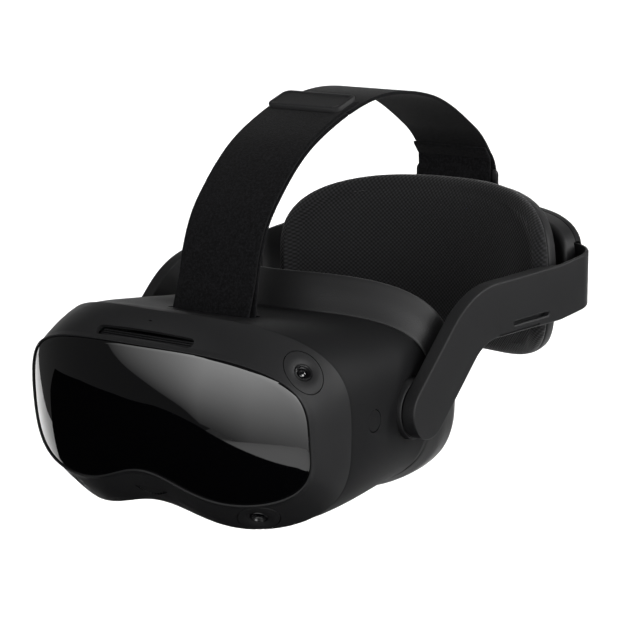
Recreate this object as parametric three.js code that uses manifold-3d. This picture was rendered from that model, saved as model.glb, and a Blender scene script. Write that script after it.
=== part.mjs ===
// Standalone virtual reality headset, worn on the head by two side arms and a top strap.
// Millimetres, +Z up, front of the visor towards -Y, the wearer's left towards +X.
// The origin is the point midway between the wearer's eyes.
import * as THREE from "three";
import { mergeVertices } from "three/addons/utils/BufferGeometryUtils.js";
import Module from "manifold-3d";

const wasm = await Module();
wasm.setup();

// Visor: the bezel's rear edge is the widest section, and every other section is set from it.
const visorWidth = 189;
const visorTop = 58.8;
const visorBottom = 49.5;
const widestZ = 4;
const visorDepth = 77;
const seamY = -102;
const seamSweep = 0.0036;
const bezelSide = 5.2;
const bezelTop = 15.2;
const bezelBottom = 17;
const bezelLength = 16.6;
const bezelBulge = 1.5;
const rimInset = 6.2;
const rimDrop = 8.8;
const rimSweep = 0.004;
const waistPlace = 0.64;
const shellBulge = 1;
const wall = 2.4;
const seamStep = 0.5;
const gap = 0.35;

// Front glass
const glassThickness = 2;
const glassDome = 3;
const glassLean = 0.0845;
const glassArch = 0.00296;
const glassSweep = 0.00134;
const glassWrap = 1.8e-7;
const glassLedge = 3;

// Face gasket
const gasketRise = 19;
const gasketReach = 10;
const gasketSweep = 0.0016;
const gasketContact = 8;
const gasketWidth = 12;
const gasketPlate = 2;

// Optics
const eyeSpacing = 64;
const eyeTravel = 3.75;
const barrelRadius = 25;
const barrelWall = 2.5;
const barrelClearance = 0.8;
const barrelLength = 28;
const eyeRelief = 17;
const lensHalf = 5;
const lensEdge = 3;
const flangeThickness = 6;
const flangeMargin = 0.5;
const flangeWidth = 2 * (barrelRadius + flangeMargin);
const flangeHeight = 2 * (barrelRadius + 8);
const flangeCorner = 12;
const displaySetback = 4;
const displaySize = 2 * (barrelRadius - displaySetback);
const displayThickness = 2;
const rodRadius = 1.5;
const rodOffset = 4;
const rodSpacing = 2 * (barrelRadius + rodOffset);
const rodLength = 132;

// Toothed drives: the eye spacing wheel and the head size dial share one tooth size
const toothModule = 1;
const toothAddendum = 0.8;
const toothDedendum = 1.2;
const ipdTeeth = 10;
const ipdWheelRadius = 18.5;
const ipdWheelWidth = 3;
const ipdAxisZ = -15;
const rackBack = 2.4;
const dialTeeth = 12;
const dialShaft = 3;

// Tracking cameras
const cameraRadius = 4.2;
const cameraBody = 7;
const cameraDepth = 9;
const cameraSetback = 2;
const patchAlong = 11.8;
const patchAcross = 9.4;

// Electronics
const ventLength = 62;
const ventHeight = 5.5;
const ventPlace = 0.24;
const ventRecess = 2;
const gauzeThickness = 1;
const boardWidth = 124;
const boardHeight = 50;
const boardThickness = 1.6;
const boardY = -88;
const fanSize = 40;
const fanDepth = 8;
const fanZ = 26;
const fanY = -104;
const fanBlades = 7;
const sinkWidth = 34;
const sinkFins = 8;

// Controls and ports
const buttonRadius = 5.5;
const buttonY = -49;
const buttonZ = 6;
const rockerLength = 23;
const rockerHeight = 7.4;
const rockerRise = 3;
const portWidth = 12;
const portHeight = 5.6;
const portZ = -16;

// Side arms and their hinges
const hingeY = -11.5;
const hingeZ = 5;
const hubRadius = 15.5;
const pinRadius = 4.5;
const armSetback = 0.5;
const armInner = visorWidth / 2 - armSetback;
const armThickness = 7.5;
const armHalf = 14.7;
const armAngle = THREE.MathUtils.degToRad(43.5);
const armBend = 45;
const bandZ = 46.7;
const armEnd = 113.5;
const coverThickness = 1.6;
const speakerLength = 34;
const speakerHeight = 14;
const speakerDepth = 3.6;
const slotLength = 37;
const slotHeight = 3.8;
const slotY = 84;
const slotZ = 37.2;

// Rear of the headband
const padHalf = 89.5;
const padMiddle = 45;
const padTop = 48;
const padBottom = 44.5;
const padY = 158;
const padSweep = 0.0053;
const padCrown = 8;
const padDepth = 5;
const frameDepth = 10;
const frameRim = 1.5;
const housingHalf = 86;
const housingHeight = 58;
const housingMiddle = 51;
const housingY = 170;
const housingSweep = 0.0037;
const housingDepth = 30;
const coverSweep = 0.0047;
const housingWall = 2.2;
const splitDepth = 17;
const bandThickness = 2;
const bandHeight = 30.5;
const bandCorner = 25;
const bandRise = 4.3;
const rackY = 173.4;
const rackDepth = 2;
const rackInner = 34;
const rackOuter = 30;
const knobRadius = 19;
const knobDepth = 9;
const cellLength = 36;
const cellHeight = 42;
const cellThickness = 7;
const cellClearance = 3.8;

// Top strap
const strapWidth = 49;
const strapThickness = 2;
const strapLap = 0.4;
const tabLength = 19;
const tabThickness = 2.4;
const tabY = 26;
const loopMargin = 3;
const loopHalf = strapWidth / 2 + loopMargin;
const loopThickness = 3;
const loopBar = 6;
const anchorRadius = 2;

const ringPoints = 40;
const right = Math.PI / 2;

// ---------------------------------------------------------------- materials

function material(color, roughness, metalness = 0) {
  return new THREE.MeshStandardMaterial({ color, roughness, metalness });
}

const charcoal = material("#2d2d2e", 0.55);
const graphite = material("#1d1d1e", 0.6);
const black = material("#0d0d0e", 0.5);
const glassBlack = material("#050506", 0.05);
const felt = material("#141414", 0.95);
const mesh = material("#101011", 0.9);
const leather = material("#1b1b1c", 0.7);
const steel = material("#b9bcc0", 0.3, 1);
const aluminium = material("#a7a9ac", 0.4, 1);
const board = material("#12402c", 0.6);
const clear = material("#aeb9c2", 0.05);
const copper = material("#3a3b3d", 0.45, 0.6);

// ---------------------------------------------------------------- solids

function solid(positions, triangles) {
  let volume = 0;
  const corner = (i) => new THREE.Vector3().fromArray(positions, 3 * i);
  for (let t = 0; t < triangles.length; t += 3) {
    const [a, b, c] = [corner(triangles[t]), corner(triangles[t + 1]), corner(triangles[t + 2])];
    volume += a.dot(b.cross(c));
  }
  if (volume < 0) triangles.reverse();
  const vertProperties = Float32Array.from(positions);
  const triVerts = Uint32Array.from(triangles);
  return new wasm.Manifold(new wasm.Mesh({ numProp: 3, vertProperties, triVerts }));
}

function fromGeometry(geometry) {
  geometry.deleteAttribute("normal");
  geometry.deleteAttribute("uv");
  const merged = mergeVertices(geometry, 1e-4);
  return solid(Array.from(merged.attributes.position.array), Array.from(merged.index.array));
}

function toGeometry(body) {
  const { vertProperties, triVerts } = body.getMesh();
  const geometry = new THREE.BufferGeometry();
  geometry.setAttribute("position", new THREE.BufferAttribute(vertProperties, 3));
  geometry.setIndex(new THREE.BufferAttribute(triVerts, 1));
  geometry.computeVertexNormals();
  return geometry;
}

function at(geometry, x, y, z) {
  return fromGeometry(geometry.translate(x, y, z));
}

function box(width, depth, height, x, y, z) {
  return at(new THREE.BoxGeometry(width, depth, height), x, y, z);
}

// A cylinder along X or Y, given by the middle of its length.
function rod(axis, radius, length, x, y, z, sides = 24) {
  const geometry = new THREE.CylinderGeometry(radius, radius, length, sides);
  if (axis === "x") geometry.rotateZ(right);
  return at(geometry, x, y, z);
}

// A flat outline drawn in X and Z, extruded along +Y from y.
function slabAlongY(shape, depth, x, y, z, curveSegments = 2) {
  const geometry = new THREE.ExtrudeGeometry(shape, { depth, bevelEnabled: false, curveSegments });
  geometry.rotateX(right);
  return at(geometry, x, y + depth, z);
}

// A flat outline drawn in Y and Z, extruded along +X from x.
function slabAlongX(shape, depth, x, y, z, curveSegments = 2) {
  const geometry = new THREE.ExtrudeGeometry(shape, { depth, bevelEnabled: false, curveSegments });
  geometry.rotateY(right);
  geometry.rotateX(right);
  return at(geometry, x, y, z);
}

function stadium(length, height) {
  const radius = height / 2;
  const reach = length / 2 - radius;
  const shape = new THREE.Shape();
  shape.absarc(reach, 0, radius, -right, right);
  shape.absarc(-reach, 0, radius, right, 3 * right);
  return shape;
}

function roundedRectangle(width, height, radius) {
  const x = width / 2 - radius;
  const y = height / 2 - radius;
  const shape = new THREE.Shape();
  shape.absarc(x, -y, radius, -right, 0);
  shape.absarc(x, y, radius, 0, right);
  shape.absarc(-x, y, radius, right, 2 * right);
  shape.absarc(-x, -y, radius, 2 * right, 3 * right);
  return shape;
}

function polygon(points) {
  return new THREE.Shape(points.map(([x, y]) => new THREE.Vector2(x, y)));
}

// ---------------------------------------------------------------- rings and lofts

// A closed outline: a superellipse above and below its widest line, with a rise for the nose.
function outlinePoint(shape, turn) {
  const [s, c] = [Math.sin(turn), Math.cos(turn)];
  const power = 2 / (c > 0 ? shape.topPower : shape.bottomPower);
  const x = shape.half * Math.sign(s) * Math.abs(s) ** power;
  const lift = (c > 0 ? shape.top : -shape.bottom) * Math.abs(c) ** power;
  const nose = c > 0 ? 0 : shape.nose * Math.exp(-((x / shape.noseSpread) ** 2));
  return new THREE.Vector3(x, 0, shape.middle + lift + nose);
}

function ring(shape, depth, count = ringPoints) {
  const fine = [];
  for (let i = 0; i < 360; i++) fine.push(outlinePoint(shape, (i * Math.PI) / 180));
  const curve = new THREE.CatmullRomCurve3(fine, true);
  curve.arcLengthDivisions = 720;
  const points = curve.getSpacedPoints(count).slice(0, count);
  for (const p of points) p.y = depth(p.x, p.z);
  return points;
}

// Moves each point of a ring sideways in X and Z, inwards when the distance is positive.
function inset(points, distance, shift = 0) {
  return points.map((p, i) => {
    const before = points.at(i - 1);
    const after = points[(i + 1) % points.length];
    const along = new THREE.Vector2(after.x - before.x, after.z - before.z).normalize();
    return new THREE.Vector3(p.x + along.y * distance, p.y + shift, p.z - along.x * distance);
  });
}

function scaled(points, share, middle, depth) {
  return points.map((p) => {
    const [x, z] = [p.x * share, middle + (p.z - middle) * share];
    return new THREE.Vector3(x, depth(x, z), z);
  });
}

function between(a, b, share, bulge = 0) {
  const middle = a.map((p, i) => p.clone().lerp(b[i], share));
  return inset(middle, -bulge * 4 * share * (1 - share));
}

function joinRings(rings, triangles, closed) {
  const count = rings[0].length;
  const last = closed ? rings.length : rings.length - 1;
  for (let r = 0; r < last; r++) {
    const [here, next] = [r * count, ((r + 1) % rings.length) * count];
    for (let i = 0; i < count; i++) {
      const j = (i + 1) % count;
      triangles.push(here + i, next + i, next + j, here + i, next + j, here + j);
    }
  }
}

// A hoop: rings joined in order, the last back to the first.
function hoop(rings) {
  const triangles = [];
  joinRings(rings, triangles, true);
  return solid(rings.flat().flatMap((p) => p.toArray()), triangles);
}

// A plug: rings joined in order, with a point closing each end.
function plug(rings, first, last) {
  const triangles = [];
  const count = rings[0].length;
  const points = [...rings.flat(), first, last];
  const [start, end] = [points.length - 2, points.length - 1];
  joinRings(rings, triangles, false);
  for (let i = 0; i < count; i++) {
    const j = (i + 1) % count;
    const base = (rings.length - 1) * count;
    triangles.push(start, i, j, end, base + j, base + i);
  }
  return solid(points.flatMap((p) => p.toArray()), triangles);
}

// ---------------------------------------------------------------- object

const headset = new THREE.Group();

function add(name, body, finish) {
  const part = new THREE.Mesh(toGeometry(body), finish);
  part.name = name;
  headset.add(part);
}

const sides = [["left", 1], ["right", -1]];

// ---------------------------------------------------------------- visor skin

const seamShape = {
  half: visorWidth / 2, middle: widestZ, top: visorTop - widestZ, topPower: 3,
  bottom: visorBottom + widestZ, bottomPower: 3.4, nose: 11.5, noseSpread: 33,
};
const glassShape = {
  half: seamShape.half - bezelSide, middle: widestZ, top: seamShape.top - bezelTop, topPower: 3.2,
  bottom: seamShape.bottom - bezelBottom, bottomPower: 3.6, nose: 13.1, noseSpread: 30,
};
const rimShape = {
  half: seamShape.half - rimInset, middle: widestZ, top: seamShape.top - rimDrop, topPower: 3.8,
  bottom: seamShape.bottom - 4, bottomPower: 3.3, nose: 22, noseSpread: 26,
};

const seamDepth = (x) => seamY + seamSweep * x * x;
const rimDepth = (x) => seamY + visorDepth + rimSweep * x * x;

function glassDepth(x, z) {
  const rise = z - widestZ;
  const front = seamY - bezelLength;
  return front + glassSweep * x * x + glassWrap * x ** 4 - glassLean * rise + glassArch * rise * rise;
}

const glassEdge = ring(glassShape, glassDepth);
const seamEdge = ring(seamShape, seamDepth);
const rimEdge = ring(rimShape, rimDepth);

// The glass is a thin dome: each inner ring stands further forward.
function frontGlass() {
  const middle = glassShape.middle + 8;
  const face = (share, back) => scaled(glassEdge, share, middle, (x, z) => {
    return glassDepth(x, z) - glassDome * (1 - share * share) + back;
  });
  const shares = [0.25, 0.5, 0.75, 1];
  const front = shares.map((share) => face(share, 0));
  const back = shares.map((share) => face(share, glassThickness)).reverse();
  const centre = new THREE.Vector3(0, glassDepth(0, middle) - glassDome, middle);
  const rear = centre.clone().setY(centre.y + glassThickness);
  return plug([...front, ...back], centre, rear);
}

// Bezel rings run from the lip round the glass to the seam with the shell.
const lip = inset(glassEdge, -0.4, -0.1);
const bezelShares = [0, 0.3, 0.65, 1];
const bezelSkin = bezelShares.map((share) => between(lip, seamEdge, share, bezelBulge));

// Outward normal of a lofted skin at one ring point.
function skinNormal(skin, row, i) {
  const rowBefore = skin[Math.max(row - 1, 0)];
  const rowAfter = skin[Math.min(row + 1, skin.length - 1)];
  const across = rowAfter[i].clone().sub(rowBefore[i]);
  const count = skin[row].length;
  const along = skin[row][(i + 1) % count].clone().sub(skin[row].at(i - 1));
  return along.cross(across).normalize();
}

function offsetSkin(skin, distance) {
  return skin.map((points, row) => points.map((p, i) => {
    return p.clone().addScaledVector(skinNormal(skin, row, i), -distance);
  }));
}

// The inner face of a skin: its end rings stay level with the outer ones, so that skins butt squarely.
function innerSkin(skin, thickness, ends) {
  const inner = offsetSkin(skin, thickness);
  const last = skin.length - 1;
  if (ends.first) inner[0] = inset(skin[0], ends.first);
  if (ends.last) inner[last] = inset(skin[last], ends.last);
  return inner;
}

const bezelInner = innerSkin(bezelSkin, wall, { last: 1.3 * wall });

function bezelBody() {
  const back = glassThickness + gap;
  const inner = bezelInner.slice(1).reverse();
  const ledgeRear = inset(glassEdge, glassLedge, back + wall);
  const ledgeFront = inset(glassEdge, glassLedge, back);
  const seat = inset(glassEdge, -0.4, back);
  return hoop([...bezelSkin, ...inner, ledgeRear, ledgeFront, seat]);
}

// A point of a ring at a share of the way round it, from the top middle.
function ringAt(points, place) {
  const reach = (place - Math.floor(place)) * points.length;
  const i = Math.floor(reach);
  return points[i % points.length].clone().lerp(points[(i + 1) % points.length], reach - i);
}

// Place and outward direction of a point on the bezel: how far round it, and its share of the width.
function bezelFrame(place, share) {
  const rows = [-0.1, 0, 0.1].map((step) => between(lip, seamEdge, share + step, bezelBulge));
  const origin = ringAt(rows[1], place);
  const across = ringAt(rows[2], place).sub(ringAt(rows[0], place)).normalize();
  const along = ringAt(rows[1], place + 0.01).sub(ringAt(rows[1], place - 0.01));
  const normal = along.cross(across).normalize();
  const basis = new THREE.Matrix4().makeBasis(normal.clone().cross(across).negate(), across, normal);
  if (basis.determinant() < 0) basis.makeBasis(normal.clone().cross(across), across, normal);
  return basis.setPosition(origin);
}

// A geometry drawn about Z is carried to the bezel, its Z axis along the outward direction.
function onBezel(geometry, frame, lift) {
  return fromGeometry(geometry.translate(0, 0, lift).applyMatrix4(frame));
}

function ellipsePrism(along, across, depth) {
  const shape = new THREE.Shape();
  shape.absellipse(0, 0, along, across, 0, 2 * Math.PI, false, 0);
  return new THREE.ExtrudeGeometry(shape, { depth, bevelEnabled: false, curveSegments: 11 });
}

function disc(radius, depth, sides = 20) {
  const geometry = new THREE.CylinderGeometry(radius, radius, depth, sides);
  return geometry.rotateX(right);
}

// ---------------------------------------------------------------- bezel, cameras and vent

const cameraSeats = [
  { name: "top_left", place: 0.172, share: 0.45 },
  { name: "top_right", place: -0.172, share: 0.45 },
  { name: "bottom_left", place: 0.375, share: 0.48 },
  { name: "bottom_right", place: -0.375, share: 0.48 },
];

function cameraModule(frame) {
  const seat = wall + cameraSetback;
  const housing = new THREE.BoxGeometry(2 * cameraBody, 2 * cameraBody, cameraDepth);
  const body = onBezel(housing, frame, -seat - cameraDepth / 2);
  const neck = onBezel(disc(cameraRadius, seat + 1, 20), frame, -seat / 2 + 0.1);
  return body.add(neck);
}

function ventPrism(length, height, frame) {
  const shape = stadium(length, height);
  const geometry = new THREE.ExtrudeGeometry(shape, { depth: 16, bevelEnabled: false, curveSegments: 3 });
  return onBezel(geometry, frame, -11);
}

// The eye spacing wheel stands behind the nose of the bezel and shows through a slot in it.
const wheelY = seamY - 5;

function buildBezel() {
  const solidSkin = hoop([...bezelSkin, ...[...bezelInner].reverse()]);
  const glass = frontGlass();
  let bezel = bezelBody();
  for (const seat of cameraSeats) {
    const frame = bezelFrame(seat.place, seat.share);
    const hole = onBezel(ellipsePrism(patchAlong + gap, patchAcross + gap, 20), frame, -10);
    const patch = onBezel(ellipsePrism(patchAlong, patchAcross, 20), frame, -10);
    const bore = onBezel(disc(cameraRadius + gap, 20), frame, 0);
    bezel = bezel.subtract(hole);
    const cover = solidSkin.intersect(patch).subtract(bore).subtract(glass);
    add(`camera_cover_${seat.name}`, cover, charcoal);
    add(`camera_module_${seat.name}`, cameraModule(frame), black);
  }
  const ventFrame = bezelFrame(0, ventPlace);
  bezel = bezel.subtract(ventPrism(ventLength, ventHeight, ventFrame));
  bezel = bezel.subtract(rod("y", ipdWheelRadius + gap, ipdWheelWidth + 2 * gap, 0, wheelY, ipdAxisZ, 40));
  add("front_bezel", bezel, charcoal);
  const gauzeBack = offsetSkin(bezelSkin, ventRecess + gauzeThickness).reverse();
  const gauze = hoop([...offsetSkin(bezelSkin, ventRecess), ...gauzeBack]);
  const opening = ventPrism(ventLength - 2 * gap, ventHeight - 2 * gap, ventFrame);
  add("vent_mesh", gauze.intersect(opening), copper);
  add("front_glass", glass, glassBlack);
}

buildBezel();

// ---------------------------------------------------------------- shell

const shellFront = inset(seamEdge, seamStep, gap);
const waistShape = {
  half: seamShape.half - rimInset * waistPlace, middle: widestZ, top: seamShape.top - rimDrop * waistPlace,
  topPower: 3.5, bottom: seamShape.bottom - 2, bottomPower: 3.35, nose: 10, noseSpread: 32,
};
const waistEdge = ring(waistShape, (x) => THREE.MathUtils.lerp(seamDepth(x), rimDepth(x), waistPlace));
const shellSkin = [shellFront, between(shellFront, waistEdge, 0.5, shellBulge), waistEdge, rimEdge];

// The outer face of the shell on one side, at a given depth and height.
function shellSide(y, z) {
  let best = 0;
  for (let row = 0; row + 1 < shellSkin.length; row++) {
    for (let i = 0; i < ringPoints; i++) {
      const [a, b] = [shellSkin[row][i], shellSkin[row + 1][i]];
      const share = (y - a.y) / (b.y - a.y);
      const height = a.z + (b.z - a.z) * share;
      const near = share >= 0 && share <= 1 && Math.abs(height - z) < 6;
      if (near) best = Math.max(best, a.x + (b.x - a.x) * share);
    }
  }
  return best;
}

const hubFace = armInner - gap;
const hubDepth = 7;
const buttonFace = shellSide(buttonY, buttonZ);
const rockerZ = buttonZ + rockerRise;
const rockerFace = shellSide(buttonY, rockerZ);
const portFace = shellSide(buttonY, portZ) - 0.3;
const anchorY = seamY + 42;
const anchorZ = 44;
const slotTop = 62;

function buildShell() {
  const inner = innerSkin(shellSkin, wall, { first: wall, last: wall });
  for (const p of inner.at(-1)) p.y = rimDepth(p.x);
  let shell = hoop([...shellSkin, ...inner.reverse()]);
  for (const [, side] of sides) {
    shell = shell.subtract(rod("x", hubRadius + gap, 24, side * (hubFace - 6), hingeY, hingeZ, 32));
  }
  shell = shell.subtract(rod("x", buttonRadius + gap, 20, buttonFace, buttonY, buttonZ));
  const rocker = stadium(rockerLength + 2 * gap, rockerHeight + 2 * gap);
  shell = shell.subtract(slabAlongX(rocker, 20, -rockerFace - 10, buttonY, rockerZ));
  const port = roundedRectangle(portWidth + 2 * gap, portHeight + 2 * gap, 1.6);
  shell = shell.subtract(slabAlongX(port, 20, -portFace - 10, buttonY, portZ));
  const slotDepth = 2 * strapThickness + 2 * anchorRadius + 6;
  const slotY = anchorY + 1.5;
  const slotHeight = slotTop - anchorZ;
  shell = shell.subtract(box(strapWidth + 3, slotDepth, slotHeight, 0, slotY, anchorZ + slotHeight / 2));
  add("main_shell", shell, graphite);
}

buildShell();

// Axle bushes of the side arms, their pins, the power button, volume rocker and charging port.
for (const [name, side] of sides) {
  const bush = rod("x", hubRadius, hubDepth, side * (hubFace - hubDepth / 2), hingeY, hingeZ, 36);
  const bore = rod("x", pinRadius + gap, 3 * hubDepth, side * hubFace, hingeY, hingeZ);
  add(`hinge_bush_${name}`, bush.subtract(bore), charcoal);
  const pinEnd = armInner + armThickness - 2.4;
  const pinStart = hubFace - hubDepth - gap - 2.5;
  const pin = rod("x", pinRadius, pinEnd - pinStart, (side * (pinEnd + pinStart)) / 2, hingeY, hingeZ);
  const head = rod("x", pinRadius + 3, 2.5, side * (pinStart + 1.25), hingeY, hingeZ);
  add(`hinge_pin_${name}`, pin.add(head), steel);
}

const buttonLength = 5;
const buttonX = buttonFace - buttonLength / 2;
add("power_button", rod("x", buttonRadius, buttonLength, buttonX, buttonY, buttonZ), graphite);
const rockerShape = stadium(rockerLength, rockerHeight);
add("volume_rocker", slabAlongX(rockerShape, buttonLength, -rockerFace, buttonY, rockerZ), graphite);

function chargingPort() {
  const depth = 9;
  const outer = roundedRectangle(portWidth, portHeight, 1.4);
  const inner = roundedRectangle(portWidth - 3, portHeight - 2.4, 1);
  const body = slabAlongX(outer, depth, -portFace, buttonY, portZ);
  return body.subtract(slabAlongX(inner, depth - 1, -portFace - 1, buttonY, portZ));
}
add("charging_port", chargingPort(), steel);

function strapAnchor() {
  const foot = 3;
  const bar = rod("x", anchorRadius, strapWidth + 2 * foot, 0, anchorY, anchorZ, 16);
  const half = (strapWidth + 1 + foot) / 2;
  const feet = [-1, 1].map((side) => box(foot, 6, 9.4, side * half, anchorY, anchorZ + 2));
  return bar.add(feet[0]).add(feet[1]);
}
add("strap_anchor", strapAnchor(), steel);

// ---------------------------------------------------------------- face gasket

function buildGasket() {
  const openingShape = {
    ...rimShape, half: rimShape.half - gasketWidth, top: rimShape.top - gasketWidth + 2,
    bottom: rimShape.bottom - 5, nose: rimShape.nose - 1.5, noseSpread: 22,
  };
  const opening = ring(openingShape, rimDepth);
  const plateFront = inset(rimEdge, 0.6, gap);
  const plateInner = inset(opening, 0, gap);
  const plateBack = [inset(plateInner, 0, gasketPlate), inset(plateFront, 0, gasketPlate)];
  add("gasket_frame", hoop([plateFront, plateInner, ...plateBack]), black);

  const crestShape = {
    ...rimShape, half: rimShape.half + 0.4, top: rimShape.top + gasketRise, topPower: 3.6,
    bottom: rimShape.bottom + 1.5, nose: rimShape.nose + 5,
  };
  const crest = ring(crestShape, (x, z) => rimDepth(x) + gasketReach + gasketSweep * x * x);
  const foot = gap + gasketPlate + gap;
  const base = inset(rimEdge, 0.2, foot);
  const shoulder = between(base, crest, 0.5, 1.5);
  const contact = between(crest, opening, 0.35);
  contact.forEach((p, i) => { p.y = crest[i].y + gasketContact; });
  const inside = inset(opening, 0.5, gasketReach + gasketContact - 3);
  for (const p of inside) p.y += gasketSweep * p.x * p.x;
  const root = inset(opening, 0, foot);
  add("face_gasket", hoop([base, shoulder, crest, contact, inside, root]), leather);
}
buildGasket();

// ---------------------------------------------------------------- optics

const barrelFront = -eyeRelief - barrelLength;
const flangeFront = barrelFront - flangeThickness;
const displayY = flangeFront - gap - displayThickness;
const rodY = flangeFront + flangeThickness / 2;
const barRackY = displayY - gap - rackBack - 1;

// A toothed wheel outline about the origin.
function gearShape(teeth, radius) {
  const pitch = (2 * Math.PI) / teeth;
  const [root, tip] = [radius - toothDedendum, radius + toothAddendum];
  const corners = [[-0.3, root], [-0.1, tip], [0.1, tip], [0.3, root]];
  const points = [];
  for (let t = 0; t < teeth; t++) {
    for (const [share, reach] of corners) {
      const angle = (t + share) * pitch;
      points.push([reach * Math.sin(angle), reach * Math.cos(angle)]);
    }
  }
  return polygon(points);
}

// A rack outline: its teeth point down from the pitch line at height zero, centred gaps at x = 0.
function rackShape(from, to) {
  const pitch = Math.PI * toothModule;
  const [root, tip] = [toothDedendum, -toothAddendum];
  const points = [[to, root + rackBack], [from, root + rackBack], [from, root]];
  const corners = [[-0.29, root], [-0.11, tip], [0.11, tip], [0.29, root]];
  const first = Math.ceil(from / pitch - 0.5 + 0.3);
  for (let t = first; (t + 0.5 + 0.3) * pitch < to; t++) {
    for (const [share, height] of corners) points.push([(t + 0.5 + share) * pitch, height]);
  }
  points.push([to, root]);
  return polygon(points);
}

function buildOptics() {
  const ipdRadius = (ipdTeeth * toothModule) / 2;
  for (const [name, side] of sides) {
    const x = (side * eyeSpacing) / 2;
    const tube = rod("y", barrelRadius, barrelLength, x, barrelFront + barrelLength / 2, 0, 36);
    const plate = roundedRectangle(flangeWidth, flangeHeight, flangeCorner);
    const flange = slabAlongY(plate, flangeThickness, x, flangeFront, 0);
    let barrel = tube.add(flange);
    barrel = barrel.subtract(rod("y", barrelRadius - barrelWall, 3 * barrelLength, x, barrelFront, 0, 36));
    for (const end of [-1, 1]) {
      const guide = rod("x", rodRadius + gap, 2 * flangeWidth, x, rodY, (end * rodSpacing) / 2, 12);
      barrel = barrel.subtract(guide);
    }
    barrel = barrel.add(ipdRack(side, ipdRadius));
    add(`lens_barrel_${name}`, barrel, black);
    add(`lens_${name}`, lens(x), clear);
    const screen = roundedRectangle(displaySize, displaySize, 3);
    add(`display_${name}`, slabAlongY(screen, displayThickness, x + side * 0.5, displayY, 0), glassBlack);
  }
  for (const [name, end] of [["upper", 1], ["lower", -1]]) {
    add(`guide_rod_${name}`, rod("x", rodRadius, rodLength, 0, rodY, (end * rodSpacing) / 2, 12), steel);
  }
  const wheel = rod("y", ipdWheelRadius, ipdWheelWidth, 0, wheelY, ipdAxisZ, 40);
  const pinion = slabAlongY(gearShape(ipdTeeth, ipdRadius), rackBack + 1, 0, barRackY - 0.5, ipdAxisZ);
  const shaftLength = barRackY - wheelY + 1;
  const shaft = rod("y", rodRadius, shaftLength, 0, wheelY + shaftLength / 2, ipdAxisZ, 12);
  add("ipd_wheel", wheel.add(shaft).add(pinion), black);
}

// Each barrel carries a rack on an arm that reaches past its display to the pinion.
function ipdRack(side, radius) {
  const inner = eyeSpacing / 2 - flangeWidth / 2;
  const [from, to] = [-inner - 2, inner + 3];
  const rack = slabAlongY(rackShape(from, to), rackBack, 0, 0, radius);
  const reach = flangeFront - barRackY + 1;
  const armZ = radius + toothDedendum + rackBack / 2;
  const arm = box(3, reach, rackBack, to - 1.5, reach / 2, armZ);
  const turn = side > 0 ? 0 : Math.PI;
  const geometry = toGeometry(rack.add(arm)).rotateY(turn);
  return at(geometry, 0, barRackY, ipdAxisZ);
}

// A thick lens, domed on both faces, seated in the barrel.
function lens(x) {
  const radius = barrelRadius - barrelWall - gap;
  const profile = [];
  const steps = 3;
  for (let i = 0; i <= steps; i++) {
    profile.push(new THREE.Vector2((radius * i) / steps, lensEdge * (i / steps) ** 2 - lensHalf));
  }
  for (let i = steps; i >= 0; i--) {
    profile.push(new THREE.Vector2((radius * i) / steps, lensHalf - lensEdge * (i / steps) ** 2));
  }
  const geometry = new THREE.LatheGeometry(profile, 28);
  return at(geometry, x, -eyeRelief - 7, 0);
}
buildOptics();

// The inner frame closes the shell round the two barrels and leaves them room to slide.
function buildInnerFrame() {
  const y = -eyeRelief - 11;
  const plateShape = {
    ...rimShape, half: rimShape.half - 6, top: rimShape.top - wall - 3, bottom: rimShape.bottom - wall - 5,
  };
  const edge = ring(plateShape, () => y);
  const outline = polygon(edge.map((p) => [p.x, p.z]));
  const holeHeight = 2 * (barrelRadius + barrelClearance);
  let frame = slabAlongY(outline, 2, 0, y, 0);
  for (const [, side] of sides) {
    const hole = stadium(holeHeight + 2 * eyeTravel, holeHeight);
    frame = frame.subtract(slabAlongY(hole, 6, (side * eyeSpacing) / 2, y - 2, 0, 7));
  }
  add("inner_frame", frame, black);
  add("proximity_sensor", box(9, 3, 5, 0, y + 2 + gap + 1.5, 20), glassBlack);
}
buildInnerFrame();

// ---------------------------------------------------------------- electronics

function buildElectronics() {
  const boardShape = roundedRectangle(boardWidth, boardHeight, 4);
  add("main_board", slabAlongY(boardShape, boardThickness, 0, boardY, fanZ - 9), board);

  let housing = box(fanSize, fanDepth, fanSize, 0, fanY + fanDepth / 2, fanZ);
  housing = housing.subtract(rod("y", fanSize / 2 - 2, fanDepth, 0, fanY + fanDepth / 2 - 1.2, fanZ, 32));
  add("fan_housing", housing, black);

  const bladeReach = fanSize / 2 - 2.6;
  let impeller = rod("y", 6, fanDepth - 2.4, 0, 0, 0, 20);
  for (let i = 0; i < fanBlades; i++) {
    const blade = new THREE.BoxGeometry(1.2, fanDepth - 3, bladeReach - 4);
    blade.rotateZ(0.5);
    blade.translate(0, 0, bladeReach - (bladeReach - 4) / 2 - 0.4);
    blade.rotateY((i * 2 * Math.PI) / fanBlades);
    impeller = impeller.add(fromGeometry(blade));
  }
  const placed = toGeometry(impeller);
  add("fan_impeller", at(placed, 0, fanY + (fanDepth - 2.4) / 2 + 0.2, fanZ), graphite);

  const sinkX = fanSize / 2 + 3 + sinkWidth / 2;
  let sink = box(sinkWidth, 2, fanSize - 6, sinkX, boardY - gap - 1, fanZ);
  for (let i = 0; i < sinkFins; i++) {
    const x = sinkX - sinkWidth / 2 + 1 + (i * (sinkWidth - 2)) / (sinkFins - 1);
    sink = sink.add(box(1.2, 10, fanSize - 6, x, boardY - gap - 6.5, fanZ));
  }
  add("heat_sink", sink, aluminium);
}
buildElectronics();

// ---------------------------------------------------------------- side arms

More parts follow.
